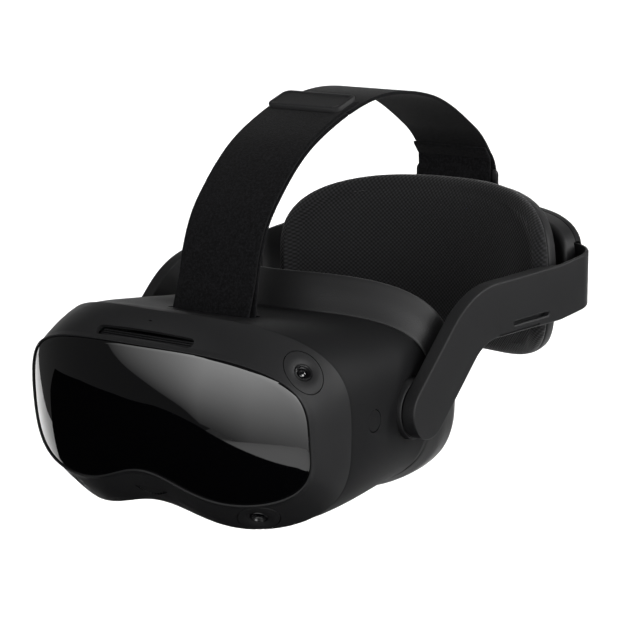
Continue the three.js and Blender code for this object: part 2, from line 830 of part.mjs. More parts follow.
// Centre line of an arm in Y and Z: up from the hinge, round a bend, then level to the rear.
function armPath() {
  const [c, s] = [Math.cos(armAngle), Math.sin(armAngle)];
  const cornerY = hingeY + ((bandZ - hingeZ) * c) / s;
  const tangent = armBend * Math.tan(armAngle / 2);
  const centre = new THREE.Vector2(cornerY + tangent, bandZ - armBend);
  const path = [new THREE.Vector2(hingeY, hingeZ)];
  for (let i = 0; i <= 6; i++) {
    const angle = right + armAngle * (1 - i / 6);
    path.push(new THREE.Vector2(centre.x + armBend * Math.cos(angle), centre.y + armBend * Math.sin(angle)));
  }
  path.push(new THREE.Vector2(armEnd, bandZ));
  return path;
}

// Outline of an arm, its edges held in by a margin.
function armShape(margin) {
  const half = armHalf - margin;
  const path = armPath();
  path[path.length - 1].x -= margin;
  const upper = [];
  const lower = [];
  path.forEach((p, i) => {
    const before = path[Math.max(i - 1, 0)];
    const after = path[Math.min(i + 1, path.length - 1)];
    const first = i <= 1;
    const level = i >= path.length - 2;
    const angle = first ? armAngle : level ? 0 : Math.atan2(after.y - before.y, after.x - before.x);
    const normal = new THREE.Vector2(-Math.sin(angle), Math.cos(angle));
    upper.push([p.x + normal.x * half, p.y + normal.y * half]);
    lower.push([p.x - normal.x * half, p.y - normal.y * half]);
  });
  const cap = [];
  for (let i = 1; i < 12; i++) {
    const angle = armAngle - right - (i * Math.PI) / 12;
    cap.push([hingeY + half * Math.cos(angle), hingeZ + half * Math.sin(angle)]);
  }
  return polygon([...cap, ...upper, ...lower.reverse()]);
}

const armOuter = armInner + armThickness;
const speakerY = slotY - 2;
const speakerZ = bandZ - 4;

// Mirrors a body drawn for the left side when it belongs on the right.
function handed(body, side) {
  return side > 0 ? body : fromGeometry(toGeometry(body).applyMatrix4(mirrorX));
}
const mirrorX = new THREE.Matrix4().makeScale(-1, 1, 1);

function buildArm(name, side) {
  let arm = slabAlongX(armShape(0), armThickness, armInner, 0, 0);
  const pocketDepth = armThickness - wall;
  const pocket = roundedRectangle(speakerLength + 4, speakerHeight + 3, 3);
  arm = arm.subtract(slabAlongX(pocket, pocketDepth + 1, armInner - 1, speakerY, speakerZ));
  const lid = roundedRectangle(speakerLength + 8, speakerHeight + 7, 4);
  arm = arm.subtract(slabAlongX(lid, coverThickness + 1, armInner - 1, speakerY, speakerZ));
  arm = arm.subtract(slabAlongX(stadium(slotLength, slotHeight), 10, armOuter - wall - 1, slotY, slotZ));
  arm = arm.subtract(rod("x", pinRadius + gap, 2 * (armThickness - 2), armInner, hingeY, hingeZ));
  add(`arm_${name}`, handed(arm, side), charcoal);

  const plate = roundedRectangle(speakerLength + 8 - 2 * gap, speakerHeight + 7 - 2 * gap, 4);
  const cover = slabAlongX(plate, coverThickness - gap, armInner, speakerY, speakerZ);
  add(`arm_cover_${name}`, handed(cover, side), black);
  const driver = roundedRectangle(speakerLength, speakerHeight, 5);
  const driverX = armInner + coverThickness + gap;
  const speaker = slabAlongX(driver, speakerDepth - 2 * gap, driverX, speakerY, speakerZ);
  add(`speaker_${name}`, handed(speaker, side), black);
}
for (const [name, side] of sides) buildArm(name, side);

// ---------------------------------------------------------------- rear of the headband

const housingBottom = housingMiddle - housingHeight / 2;
const padShape = {
  half: padHalf, middle: padMiddle, top: padTop, topPower: 3.8,
  bottom: padBottom, bottomPower: 3.6, nose: 0, noseSpread: 1,
};
const housingShape = {
  half: housingHalf, middle: housingMiddle, top: housingHeight / 2, topPower: 4,
  bottom: housingHeight / 2, bottomPower: 4, nose: 0, noseSpread: 1,
};
const padFace = (x) => padY - padSweep * x * x;
const housingFront = (x) => housingY - housingSweep * x * x;
const housingBack = (x) => housingY + housingDepth - coverSweep * x * x;
const splitY = (x) => housingY + splitDepth - ((housingSweep + coverSweep) / 2) * x * x;

// A dish: a curved floor with a wall round it, open towards the rim.
function dish(shape, floorY, openY, thickness, corner) {
  const towards = Math.sign(openY(0) - floorY(0));
  const edge = ring(shape, floorY);
  const centreZ = shape.middle;
  const outer = [0.5, 0.93].map((share) => scaled(edge, share, centreZ, floorY));
  outer.push(inset(edge, 0, towards * corner));
  const rim = edge.map((p) => p.clone().setY(openY(p.x)));
  const inner = inset(edge, thickness);
  const innerRim = inner.map((p) => p.clone().setY(openY(p.x)));
  const innerFloor = (x) => floorY(x) + towards * thickness;
  const floor = [0.93, 0.5].map((share) => scaled(inner, share, centreZ, innerFloor));
  const innerCorner = inner.map((p) => p.clone().setY(innerFloor(p.x) + towards * corner));
  const centre = new THREE.Vector3(0, floorY(0), centreZ);
  const innerCentre = new THREE.Vector3(0, innerFloor(0), centreZ);
  return plug([...outer, rim, innerRim, innerCorner, ...floor], centre, innerCentre);
}

function rearPad() {
  const edge = ring(padShape, padFace);
  const crowned = (share) => {
    const rise = padCrown * (1 - share ** 2.5);
    return scaled(edge, share, padMiddle, (x) => padFace(x) - rise);
  };
  const front = [0.35, 0.65, 0.88, 1].map(crowned);
  const back = inset(edge, frameRim + 1, padDepth);
  const centre = new THREE.Vector3(0, padFace(0) - padCrown, padMiddle);
  const rear = new THREE.Vector3(0, padFace(0) + padDepth, padMiddle);
  const floor = [0.9, 0.7, 0.35].map((share) => scaled(edge, share, padMiddle, (x) => padFace(x) + padDepth));
  return plug([...front, back, ...floor], centre, rear);
}
add("rear_pad", rearPad(), mesh);

function padFrame() {
  const edge = ring(padShape, padFace);
  const rimFront = inset(edge, -frameRim, gap + 1.2);
  const rimBack = inset(edge, -frameRim, frameDepth - 2);
  const backEdge = inset(edge, 1, frameDepth);
  const rimInside = inset(edge, 0.6, gap + 1.2);
  const floorEdge = inset(edge, 0.8, padDepth + 2 * gap);
  const backY = (x) => padFace(x) + frameDepth;
  const floorY = (x) => padFace(x) + padDepth + 2 * gap;
  const floor = [0.9, 0.7, 0.35].map((share) => scaled(edge, share, padMiddle, floorY));
  const back = [0.35, 0.7].map((share) => scaled(edge, share, padMiddle, backY));
  const centre = new THREE.Vector3(0, floorY(0), padMiddle);
  const rear = new THREE.Vector3(0, backY(0), padMiddle);
  const rings = [...floor.reverse(), floorEdge, rimInside, rimFront, rimBack, backEdge, ...back.reverse()];
  return plug(rings, centre, rear);
}

// Strap loop: an upright plate with a slot under its bar, standing in a notch of the pad frame.
const loopY = padY + 6.5;
const loopTop = padMiddle + padTop + 9;
const loopBottom = loopTop - 15;

function buildPadFrame() {
  const notchHeight = 40;
  const notchZ = loopBottom - gap + notchHeight / 2;
  const notch = box(2 * (loopHalf + gap), 2 * frameDepth, notchHeight, 0, loopY + 4.5, notchZ);
  add("pad_frame", padFrame().subtract(notch), charcoal);
  const plate = roundedRectangle(2 * loopHalf, loopTop - loopBottom, 3);
  const slotZoneTop = loopTop - loopBar;
  const slot = box(strapWidth + 1, 3 * loopThickness, 5.5, 0, loopY, slotZoneTop - 2.75);
  const loop = slabAlongY(plate, loopThickness, 0, loopY - loopThickness / 2, (loopTop + loopBottom) / 2);
  add("strap_loop", loop.subtract(slot), black);
}
buildPadFrame();

// Plan view of the flexible bands: straight back from the arm, round a corner, then to the rack.
const bandX = armOuter - bandThickness / 2;
const rackEndY = rackY + rackDepth / 2;
const slotHeadX = housingHalf - 3;
const slotBack = 14;
const driveZ = bandZ + bandRise;

function bandPath(side) {
  const end = new THREE.Vector2(rackOuter + gap, rackEndY);
  const aim = new THREE.Vector2(slotHeadX, housingFront(slotHeadX) + slotBack);
  const run = aim.clone().sub(end).normalize();
  const cornerY = end.y + ((bandX - end.x) * run.y) / run.x;
  const path = [new THREE.Vector2(bandX, armEnd + gap)];
  const angle = right - Math.atan2(-run.y, run.x);
  const tangent = bandCorner * Math.tan(angle / 2);
  const centre = new THREE.Vector2(bandX - bandCorner, cornerY - tangent);
  for (let i = 0; i <= 6; i++) {
    const a = (angle * i) / 6;
    path.push(new THREE.Vector2(centre.x + bandCorner * Math.cos(a), centre.y + bandCorner * Math.sin(a)));
  }
  path.push(end);
  return path.map((p) => new THREE.Vector2(side * p.x, p.y));
}

// A flat strip that follows a path, as an outline with its two long edges offset from it.
function stripShape(path, thickness) {
  const left = [];
  const far = [];
  path.forEach((p, i) => {
    const before = path[Math.max(i - 1, 0)];
    const after = path[Math.min(i + 1, path.length - 1)];
    const along = after.clone().sub(before).normalize().multiplyScalar(thickness / 2);
    left.push([p.x - along.y, p.y + along.x]);
    far.push([p.x + along.y, p.y - along.x]);
  });
  return polygon([...left, ...far.reverse()]);
}

// A plan outline extruded upwards, rising evenly from the arm's end to the rear housing.
function risingStrip(shape, height, z) {
  const geometry = new THREE.ExtrudeGeometry(shape, { depth: height, bevelEnabled: false });
  const place = geometry.attributes.position;
  const run = housingFront(slotHeadX) + slotBack - armEnd;
  for (let i = 0; i < place.count; i++) {
    const share = THREE.MathUtils.clamp((place.getY(i) - armEnd) / run, 0, 1);
    place.setZ(i, place.getZ(i) + bandRise * share);
  }
  return at(geometry, 0, 0, z);
}

const rackRadius = (dialTeeth * toothModule) / 2;

function buildBands() {
  const bottom = bandZ - bandHeight / 2;
  for (const [name, side] of sides) {
    const strip = stripShape(bandPath(side), bandThickness);
    let band = risingStrip(strip, bandHeight, bottom);
    const tongue = 7;
    const rackZ = driveZ + side * (rackRadius + toothDedendum + rackBack / 2);
    const insideX = slotHeadX - 6;
    const above = box(2 * insideX, 60, 30, 0, rackY, rackZ + tongue / 2 + 15);
    const below = box(2 * insideX, 60, 30, 0, rackY, rackZ - tongue / 2 - 15);
    band = band.subtract(above).subtract(below);
    add(`band_${name}`, band, charcoal);

    const rack = slabAlongY(rackShape(-rackInner, rackOuter), rackDepth, 0, 0, rackRadius);
    const turned = toGeometry(rack).rotateY(side > 0 ? 0 : Math.PI);
    add(`rack_${name}`, at(turned, 0, rackY, driveZ), black);
  }
}
buildBands();

const releaseWidth = 24;
const releaseY = housingY + 9;

function buildHousing() {
  let housing = dish(housingShape, housingFront, (x) => splitY(x), housingWall, 3);
  const slotY = housingFront(slotHeadX) + slotBack;
  const openings = sides.map(([, side]) => {
    return box(12, 8, bandHeight + 1.5, side * (housingHalf - 2), slotY, driveZ);
  });
  housing = housing.subtract(openings[0]).subtract(openings[1]);
  const releaseHole = box(releaseWidth + 2 * gap, 9 + 2 * gap, 12, 0, releaseY, housingBottom);
  housing = housing.subtract(releaseHole);
  add("rear_housing", housing, charcoal);

  let cover = dish(housingShape, housingBack, (x) => splitY(x) + gap, housingWall, 3);
  cover = cover.subtract(openings[0]).subtract(openings[1]);
  cover = cover.subtract(rod("y", dialShaft + gap, 30, 0, housingY + housingDepth, driveZ, 20));
  add("rear_cover", cover, graphite);
  const catchBody = box(releaseWidth, 9, 7, 0, releaseY, housingBottom + 2);
  add("battery_release", catchBody, black);
}
buildHousing();

function buildDial() {
  const knobY = housingY + housingDepth + gap;
  const shape = new THREE.Shape();
  const ridges = 16;
  for (let i = 0; i <= 4 * ridges; i++) {
    const angle = (i * 2 * Math.PI) / (4 * ridges);
    const reach = knobRadius - (i % 4 < 2 ? 0 : 0.7);
    const point = [reach * Math.sin(angle), reach * Math.cos(angle)];
    if (i === 0) shape.moveTo(...point);
    else shape.lineTo(...point);
  }
  const knob = slabAlongY(shape, knobDepth, 0, knobY, driveZ);
  const pinionStart = rackY - 0.4;
  const shaftLength = knobY - pinionStart + 2;
  const shaft = rod("y", dialShaft, shaftLength, 0, pinionStart + shaftLength / 2, driveZ, 20);
  const pinion = slabAlongY(gearShape(dialTeeth, rackRadius), rackDepth + 1, 0, pinionStart, driveZ);
  add("size_dial", knob.add(shaft).add(pinion), charcoal);
  for (const [name, side] of sides) {
    const x = side * (cellLength / 2 + 13);
    const slope = Math.atan(2 * coverSweep * x);
    const geometry = new THREE.BoxGeometry(cellLength, cellThickness, cellHeight);
    geometry.rotateZ(-slope);
    const y = housingBack(x) - housingWall - cellClearance - cellThickness / 2;
    add(`battery_cell_${name}`, at(geometry, x, y, housingMiddle), steel);
  }
}
buildDial();

// ---------------------------------------------------------------- top strap

// Middle of the strap's continuous layer in Y and Z, from the visor slot over to the loop.
const loopBehind = loopY + (loopThickness + strapThickness) / 2 + 0.5;
const strapLine = new THREE.SplineCurve([
  [anchorY + anchorRadius + 0.5 + strapThickness / 2, anchorZ],
  [-50, 82], [-36, 107], [-4, 134], [50, 152.4], [103, 148.5], [145, 127.5], [162.3, 111],
  [loopBehind, loopTop], [loopBehind, loopTop - loopBar],
].map(([y, z]) => new THREE.Vector2(y, z)));

function strapPoint(share, lift) {
  const p = strapLine.getPointAt(share);
  const t = strapLine.getTangentAt(share);
  return new THREE.Vector2(p.x - t.y * lift, p.y + t.x * lift);
}

function strapShareAt(y) {
  let share = 0;
  while (strapLine.getPointAt(share).x < y) share += 0.002;
  return share;
}

function arc(centreY, centreZ, radius, from, to, steps) {
  const points = [];
  for (let i = 0; i <= steps; i++) {
    const angle = from + ((to - from) * i) / steps;
    points.push(new THREE.Vector2(centreY + radius * Math.cos(angle), centreZ + radius * Math.sin(angle)));
  }
  return points;
}

function strapRun(from, to, lift, steps) {
  const points = [];
  for (let i = 0; i <= steps; i++) points.push(strapPoint(from + ((to - from) * i) / steps, lift));
  return points;
}

function buildStrap() {
  const split = strapShareAt(tabY - 2);
  const tabEnd = strapShareAt(tabY + tabLength / 2 - 2);
  const lap = strapThickness + strapLap;
  const anchorTurn = anchorRadius + 0.5 + strapThickness / 2;
  const outer = strapRun(tabEnd, 0.08, lap, 17);
  const turn = arc(anchorY, anchorZ, anchorTurn, Math.PI, 2 * Math.PI, 6);
  const inner = strapRun(0.02, split, 0, 14);
  const front = stripShape([...outer, ...turn, ...inner], strapThickness);
  add("strap_front", slabAlongX(front, strapWidth, -strapWidth / 2, 0, 0), felt);

  const barZ = loopTop - loopBar;
  const loopTurn = loopThickness / 2 + 0.5 + strapThickness / 2;
  const over = strapRun(split + 0.002, 0.985, 0, 22);
  const under = arc(loopY, barZ, loopTurn, 0, -Math.PI, 6);
  const corner = new THREE.Vector2(loopY - loopTurn, loopTop + 0.5);
  const back = strapRun(0.935, 0.9, -lap, 2);
  const rear = stripShape([...over, ...under, corner, ...back], strapThickness);
  add("strap_rear", slabAlongX(rear, strapWidth, -strapWidth / 2, 0, 0), felt);

  const plate = roundedRectangle(strapWidth - 2, tabLength, 4);
  const settings = { depth: tabThickness, bevelEnabled: false, curveSegments: 2 };
  const geometry = new THREE.ExtrudeGeometry(plate, settings);
  const place = strapShareAt(tabY);
  const slope = strapLine.getTangentAt(place);
  geometry.rotateX(Math.atan2(slope.y, slope.x));
  const seat = strapPoint(place, lap + strapThickness / 2 + gap);
  add("strap_tab", at(geometry, 0, seat.x, seat.y), charcoal);
}
buildStrap();

export default headset;
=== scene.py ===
# Standalone headset for virtual reality: a glass-fronted visor carried by two side arms, a padded rear
# module and a top strap. Shapes are drawn in millimetres about the point midway between the wearer's
# eyes, with the visor's front towards -Y and the wearer's left towards +X.
import math

import bmesh
import bpy
import numpy as np
from mathutils import Matrix, Vector
from mathutils.bvhtree import BVHTree


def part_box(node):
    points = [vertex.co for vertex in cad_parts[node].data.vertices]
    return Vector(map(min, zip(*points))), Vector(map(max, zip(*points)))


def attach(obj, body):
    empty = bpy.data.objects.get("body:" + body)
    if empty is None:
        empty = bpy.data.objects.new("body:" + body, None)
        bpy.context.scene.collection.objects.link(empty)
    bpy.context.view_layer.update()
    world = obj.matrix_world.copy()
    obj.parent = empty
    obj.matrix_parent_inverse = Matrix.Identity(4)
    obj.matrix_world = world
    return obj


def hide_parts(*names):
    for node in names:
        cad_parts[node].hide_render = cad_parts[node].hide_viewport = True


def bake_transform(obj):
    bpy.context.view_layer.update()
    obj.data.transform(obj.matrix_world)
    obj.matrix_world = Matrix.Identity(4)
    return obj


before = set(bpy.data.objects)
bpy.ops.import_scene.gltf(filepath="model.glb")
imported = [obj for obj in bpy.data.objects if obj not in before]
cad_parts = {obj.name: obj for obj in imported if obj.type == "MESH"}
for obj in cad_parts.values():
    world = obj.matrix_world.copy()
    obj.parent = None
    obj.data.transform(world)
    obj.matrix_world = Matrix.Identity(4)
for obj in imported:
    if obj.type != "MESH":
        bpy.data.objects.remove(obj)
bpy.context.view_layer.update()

# ---------------------------------------------------------------- camera
# A long lens at eye level for a desk, a little above the visor and to the wearer's left.
lens_mm = 137.14
camera = bpy.data.objects.new("camera", bpy.data.cameras.new("camera"))
camera.data.lens = lens_mm
camera.data.sensor_width = 36
camera.data.clip_end = 20
turn, tilt, away = math.radians(36.7), math.radians(11.13), 1.2414
right = Vector((math.cos(turn), math.sin(turn), 0))
forward = Vector((-math.sin(turn) * math.cos(tilt), math.cos(turn) * math.cos(tilt), -math.sin(tilt)))
up = right.cross(forward)
aim = Vector((0.0403, 0, 0.0458))
place = right * aim.x + up * aim.z - forward * away + Vector((0, -0.04, 0))
camera.matrix_world = Matrix.Translation(place) @ Matrix((right, up, -forward)).transposed().to_4x4()
bpy.context.collection.objects.link(camera)
bpy.context.scene.camera = camera

# ---------------------------------------------------------------- studio
# A seamless pale paper sweep, well below the headset as if it hung from a thread. Lamps behind the
# headset wash the paper white. A large softbox stands to its left, and a curved glowing card in front is
# what the glass mirrors.


def linear(code):
    """The linear colour, with alpha, of an sRGB hex code."""
    parts = [int(code[i : i + 2], 16) / 255 for i in (1, 3, 5)]
    return (*[c / 12.92 if c <= 0.04045 else ((c + 0.055) / 1.055) ** 2.4 for c in parts], 1)


def put(material, kind, inputs=None, **settings):
    """Adds a shader node, sets its properties, and sets or links its inputs."""
    made = material.node_tree.nodes.new("ShaderNode" + kind)
    for key, value in settings.items():
        setattr(made, key, value)
    for key, value in (inputs or {}).items():
        if isinstance(value, bpy.types.NodeSocket):
            material.node_tree.links.new(value, made.inputs[key])
        else:
            made.inputs[key].default_value = value
    return made


def new_material(name):
    """An empty node material with its output."""
    material = bpy.data.materials.new(name)
    material.use_nodes = True
    material.node_tree.nodes.clear()
    return material, put(material, "OutputMaterial")


def mesh_object(name, points, faces, material, sharp=30):
    """A mesh object from points in millimetres, smooth but for edges sharper than the angle."""
    mesh = bpy.data.meshes.new(name)
    mesh.from_pydata([tuple(float(c) * 0.001 for c in p) for p in points], [], faces)
    mesh.update()
    piece = bpy.data.objects.new(name, mesh)
    bpy.context.collection.objects.link(piece)
    tidy_normals(piece, sharp)
    if material:
        mesh.materials.append(material)
    return piece


def tidy_normals(piece, sharp=30):
    """Faces out, smooth shading with sharp edges kept."""
    shape = bmesh.new()
    shape.from_mesh(piece.data)
    bmesh.ops.recalc_face_normals(shape, faces=shape.faces)
    shape.to_mesh(piece.data)
    shape.free()
    piece.data.shade_smooth()
    piece.data.set_sharp_from_angle(angle=math.radians(sharp))


def paper_sweep():
    """Matte white paper: no gloss, so that only soft shade shows on it."""
    material, output = new_material("matte_white_paper")
    grain = put(material, "TexNoise", {"Scale": 900.0, "Detail": 3.0})
    tone = put(material, "ValToRGB", {"Fac": grain.outputs["Fac"]})
    tone.color_ramp.elements[0].color = linear("#f1f1f1")
    tone.color_ramp.elements[1].color = linear("#f7f7f7")
    cover = put(material, "BsdfPrincipled", {"Base Color": tone.outputs["Color"], "Roughness": 0.95})
    cover.inputs["Specular IOR Level"].default_value = 0.1
    material.node_tree.links.new(cover.outputs["BSDF"], output.inputs["Surface"])
    floor_z, radius, half, height = -700, 1500, 1600, 2600
    profile = [(-2000, floor_z), (1000, floor_z)]
    for i in range(1, 13):
        angle = i * math.pi / 24
        profile.append((1000 + radius * math.sin(angle), floor_z + radius * (1 - math.cos(angle))))
    profile.append((1000 + radius, height))
    points = [(side * half, y, z) for y, z in profile for side in (-1, 1)]
    faces = [(2 * i, 2 * i + 1, 2 * i + 3, 2 * i + 2) for i in range(len(profile) - 1)]
    sweep = mesh_object("paper_sweep", points, faces, material)
    sweep.rotation_euler.z = turn


paper_sweep()
world = bpy.data.worlds.new("studio_air")
world.use_nodes = True
world.node_tree.nodes["Background"].inputs["Color"].default_value = (1, 1, 1, 1)
world.node_tree.nodes["Background"].inputs["Strength"].default_value = 0.06
bpy.context.scene.world = world
bpy.context.scene.view_settings.view_transform = "Standard"


def softbox(name, centre, target, width, height, watts, spread=180):
    """A rectangular lamp that faces a target, both in metres, its light kept within a spread in degrees."""
    lamp = bpy.data.objects.new(name, bpy.data.lights.new(name, "AREA"))
    lamp.data.shape = "RECTANGLE"
    lamp.data.size, lamp.data.size_y = width, height
    lamp.data.energy = watts
    lamp.data.spread = math.radians(spread)
    lamp.location = centre
    lamp.rotation_euler = (Vector(target) - Vector(centre)).to_track_quat("-Z", "Y").to_euler()
    bpy.context.collection.objects.link(lamp)
    return lamp


softbox("key_softbox", (1.3, -0.25, 0.5), (0, 0.02, 0.02), 0.8, 0.8, 13)
softbox("top_softbox", (-0.2, 0.5, 1.4), (0, 0.05, 0), 0.8, 0.8, 1.0)
softbox("rear_strip", (1.0, 1.1, 0.7), (0.05, 0.12, 0.04), 0.3, 0.9, 9)
away_flat = Vector((-math.sin(turn), math.cos(turn), 0))
for wash_name, side in (("wash_left", 1), ("wash_right", -1)):
    spot = Vector((right.x * side * 0.9 - 0.2, right.y * side * 0.9 + 0.3, 2.4))
    softbox(wash_name, spot, spot + away_flat * 1.7 + Vector((0, 0, -2.8)), 2, 0.6, 14, 64)


def mirror_card():
    """A curved sheet of lit diffusion cloth in front, its lower edge sloping down to the left, dim
    along that edge and brighter upwards."""
    material, output = new_material("diffusion_cloth_lit")
    spread = put(material, "TexCoord").outputs["UV"]
    weave = put(material, "TexNoise", {"Vector": spread, "Scale": 6.0, "Detail": 2.0})
    fade = put(material, "SeparateXYZ", {"Vector": spread})
    level = put(material, "ValToRGB", {"Fac": fade.outputs["Y"]})
    level.color_ramp.elements[0].color = (0.07, 0.07, 0.07, 1)
    level.color_ramp.elements[1].color = (1, 1, 1, 1)
    cloudy = put(material, "MapRange", {"Value": weave.outputs["Fac"], "To Min": 0.96, "To Max": 1.04})
    glow = put(material, "Mix", {0: 1.0, 6: level.outputs["Color"], 7: cloudy.outputs["Result"]},
               data_type="RGBA", blend_type="MULTIPLY")
    lamp = put(material, "Emission", {"Color": glow.outputs[2], "Strength": 3.2})
    material.node_tree.links.new(lamp.outputs["Emission"], output.inputs["Surface"])
    edge = [(-52, 16), (-46, 9.4), (-36, -1.5), (-20, -18), (7, -26), (37, -29), (60, -30)]
    centre, reach, tall = Vector((40, -100, 20)), 1800, 46
    columns, steps = 48, 16
    points, across = [], []
    for bearing in np.linspace(edge[0][0], edge[-1][0], columns + 1):
        low = float(np.interp(bearing, *zip(*edge)))
        a = math.radians(bearing)
        for k in range(steps + 1):
            height = math.radians(low + k / steps * tall)
            points.append(centre + reach * Vector((math.sin(a) * math.cos(height),
                                                   -math.cos(a) * math.cos(height), math.sin(height))))
            across.append(((bearing - edge[0][0]) / (edge[-1][0] - edge[0][0]), k / steps))
    starts = [i * (steps + 1) + k for i in range(columns) for k in range(steps)]
    faces = [(at, at + 1, at + steps + 2, at + steps + 1) for at in starts]
    card = mesh_object("mirror_card", points, faces, material)
    plan = card.data.uv_layers.new(name="plan")
    for loop in card.data.loops:
        plan.data[loop.index].uv = across[loop.vertex_index]


mirror_card()


def black_flag():
    """Black velvet laid under and in front of the headset, out of the camera's sight, so that the glass
    and the underside stay dark."""
    material, output = new_material("black_velvet")
    pile = put(material, "TexNoise", {"Scale": 500.0, "Detail": 2.0})
    tone = put(material, "ValToRGB", {"Fac": pile.outputs["Fac"]})
    tone.color_ramp.elements[0].color = linear("#080808")
    tone.color_ramp.elements[1].color = linear("#0e0e0e")
    cloth = put(material, "BsdfPrincipled", {"Base Color": tone.outputs["Color"], "Roughness": 1.0})
    cloth.inputs["Specular IOR Level"].default_value = 0.0
    material.node_tree.links.new(cloth.outputs["BSDF"], output.inputs["Surface"])
    level = -350
    rim = [(-150, 400), (-110, 500), (-88, 1500), (-80, 2600), (-60, 2600), (-46, 2200), (-36, 1700),
           (-20, 1060), (7, 690), (37, 600), (60, 550), (90, 500), (130, 400)]
    points = []
    for bearing, reach in rim:
        a = math.radians(bearing)
        points.append((40 + reach * math.sin(a), -100 - reach * math.cos(a), level))
    flag = mesh_object("black_flag", points, [tuple(range(len(points)))], material)


black_flag()

# ---------------------------------------------------------------- front bezel
# The bezel is one moulding of charcoal polycarbonate, finely textured in the mould. It snaps onto the
# shell, carries the glass in a rebate behind a thin bead, and is pierced for cameras, vent and wheel.
seam_y, seam_sweep, visor_depth = -102, 0.0036, 77
widest_z, visor_half, visor_top, visor_bottom = 4, 94.5, 58.8, 49.5
bezel_side, bezel_top, bezel_bottom, bezel_length, bezel_bulge = 5.2, 15.2, 17, 16.6, 1.5
wall, gap = 2.4, 0.35
RING = 360


def outline(shape, count=1440):
    """A closed outline in X and Z, spaced evenly: a superellipse with a rise for the nose below."""
    half, top, top_power, bottom, bottom_power, nose, spread = shape
    angle = np.linspace(0, 2 * np.pi, count, endpoint=False)
    s, c = np.sin(angle), np.cos(angle)
    power = 2 / np.where(c > 0, top_power, bottom_power)
    x = half * np.sign(s) * np.abs(s) ** power
    rise = np.where(c > 0, top, -bottom) * np.abs(c) ** power
    rise = rise + np.where(c > 0, 0, nose * np.exp(-((x / spread) ** 2)))
    return np.stack([x, rise], axis=1)


def ring(shape, depth, middle=widest_z, count=RING):
    """The outline as a ring of evenly spaced points, its Y from a function of X and Z."""
    fine = outline(shape)
    closed = np.vstack([fine, fine[:1]])
    reach = np.concatenate([[0], np.cumsum(np.linalg.norm(np.diff(closed, axis=0), axis=1))])
    wanted = np.linspace(0, reach[-1], count, endpoint=False)
    x = np.interp(wanted, reach, closed[:, 0])
    z = np.interp(wanted, reach, closed[:, 1]) + middle
    return np.stack([x, depth(x, z) + 0 * x, z], axis=1)


def inset(points, distance, shift=0):
    """The ring moved inwards in X and Z, and back by a shift in Y."""
    along = np.roll(points, -1, axis=0) - np.roll(points, 1, axis=0)
    along = along / np.hypot(along[:, 0], along[:, 2])[:, None]
    back = 0 * along[:, 0] + shift
    return points + np.stack([along[:, 2] * distance, back, -along[:, 0] * distance], axis=1)


def between(a, b, share, bulge=0):
    return inset(a + (b - a) * share, -bulge * 4 * share * (1 - share))


def sunk(rows, distance):
    """Rows of a skin moved inwards along the skin's own normals."""
    rows = np.array(rows)
    across = np.gradient(rows, axis=0)
    along = np.roll(rows, -1, axis=1) - np.roll(rows, 1, axis=1)
    normal = np.cross(along, across)
    normal /= np.linalg.norm(normal, axis=2)[..., None]
    return list(rows - normal * distance)


def bridge(count, rows, closed_rows):
    """Faces between rings of points laid one after another."""
    faces = []
    for r in range(rows if closed_rows else rows - 1):
        here, there = r * count, ((r + 1) % rows) * count
        for i in range(count):
            j = (i + 1) % count
            faces.append((here + i, there + i, there + j, here + j))
    return faces


def hoop(name, rows, material, sharp=30):
    """A closed band: rings joined in order, the last back to the first."""
    return mesh_object(name, np.vstack(rows), bridge(len(rows[0]), len(rows), True), material, sharp)


def plug(name, rows, material, sharp=30):
    """A closed body: rings joined in order, with a flat face at each end."""
    count = len(rows[0])
    faces = bridge(count, len(rows), False)
    faces.append(tuple(range(count)))
    faces.append(tuple((len(rows) - 1) * count + i for i in range(count)))
    return mesh_object(name, np.vstack(rows), faces, material, sharp)


def cut(piece, cutters, operation="DIFFERENCE", sharp=30):
    """Cuts, or keeps what is common with, each cutter in turn, and removes the cutters."""
    for cutter in cutters:
        step = piece.modifiers.new("cut", "BOOLEAN")
        step.operation, step.solver, step.object = operation, "MANIFOLD", cutter
        found = piece.evaluated_get(bpy.context.evaluated_depsgraph_get())
        mesh = bpy.data.meshes.new_from_object(found)
        piece.modifiers.clear()
        piece.data = mesh
        bpy.data.objects.remove(cutter)
    tidy_normals(piece, sharp)
    return piece


def moulded_plastic(name, shade, light, roughness, grit_mm, depth, specular=0.3):
    """Moulded polycarbonate: spark-eroded texture from the mould, slight cloudiness in colour and gloss.
    The real grit is about 0.1 mm; it is drawn coarser so that it shows."""
    material, output = new_material(name)
    spot = put(material, "TexCoord").outputs["Object"]
    grit = put(material, "TexNoise", {"Vector": spot, "Scale": 1000 / grit_mm, "Detail": 2.0})
    cloud = put(material, "TexNoise", {"Vector": spot, "Scale": 28.0, "Detail": 4.0})
    tone = put(material, "ValToRGB", {"Fac": cloud.outputs["Fac"]})
    tone.color_ramp.elements[0].position, tone.color_ramp.elements[1].position = 0.3, 0.7
    tone.color_ramp.elements[0].color = linear(shade)
    tone.color_ramp.elements[1].color = linear(light)
    gloss = put(material, "MapRange", {"Value": grit.outputs["Fac"], "To Min": roughness - 0.05,
                                       "To Max": roughness + 0.05})
    relief = put(material, "Bump", {"Height": grit.outputs["Fac"], "Strength": depth, "Distance": 0.0002})
    body = put(material, "BsdfPrincipled", {
        "Base Color": tone.outputs["Color"], "Roughness": gloss.outputs["Result"],
        "Normal": relief.outputs["Normal"], "IOR": 1.5, "Specular IOR Level": specular,
    })
    material.node_tree.links.new(body.outputs["BSDF"], output.inputs["Surface"])
    return material


charcoal = moulded_plastic("charcoal_polycarbonate_moulded", "#1c1c1d", "#1f1f20", 0.52, 0.45, 0.25)

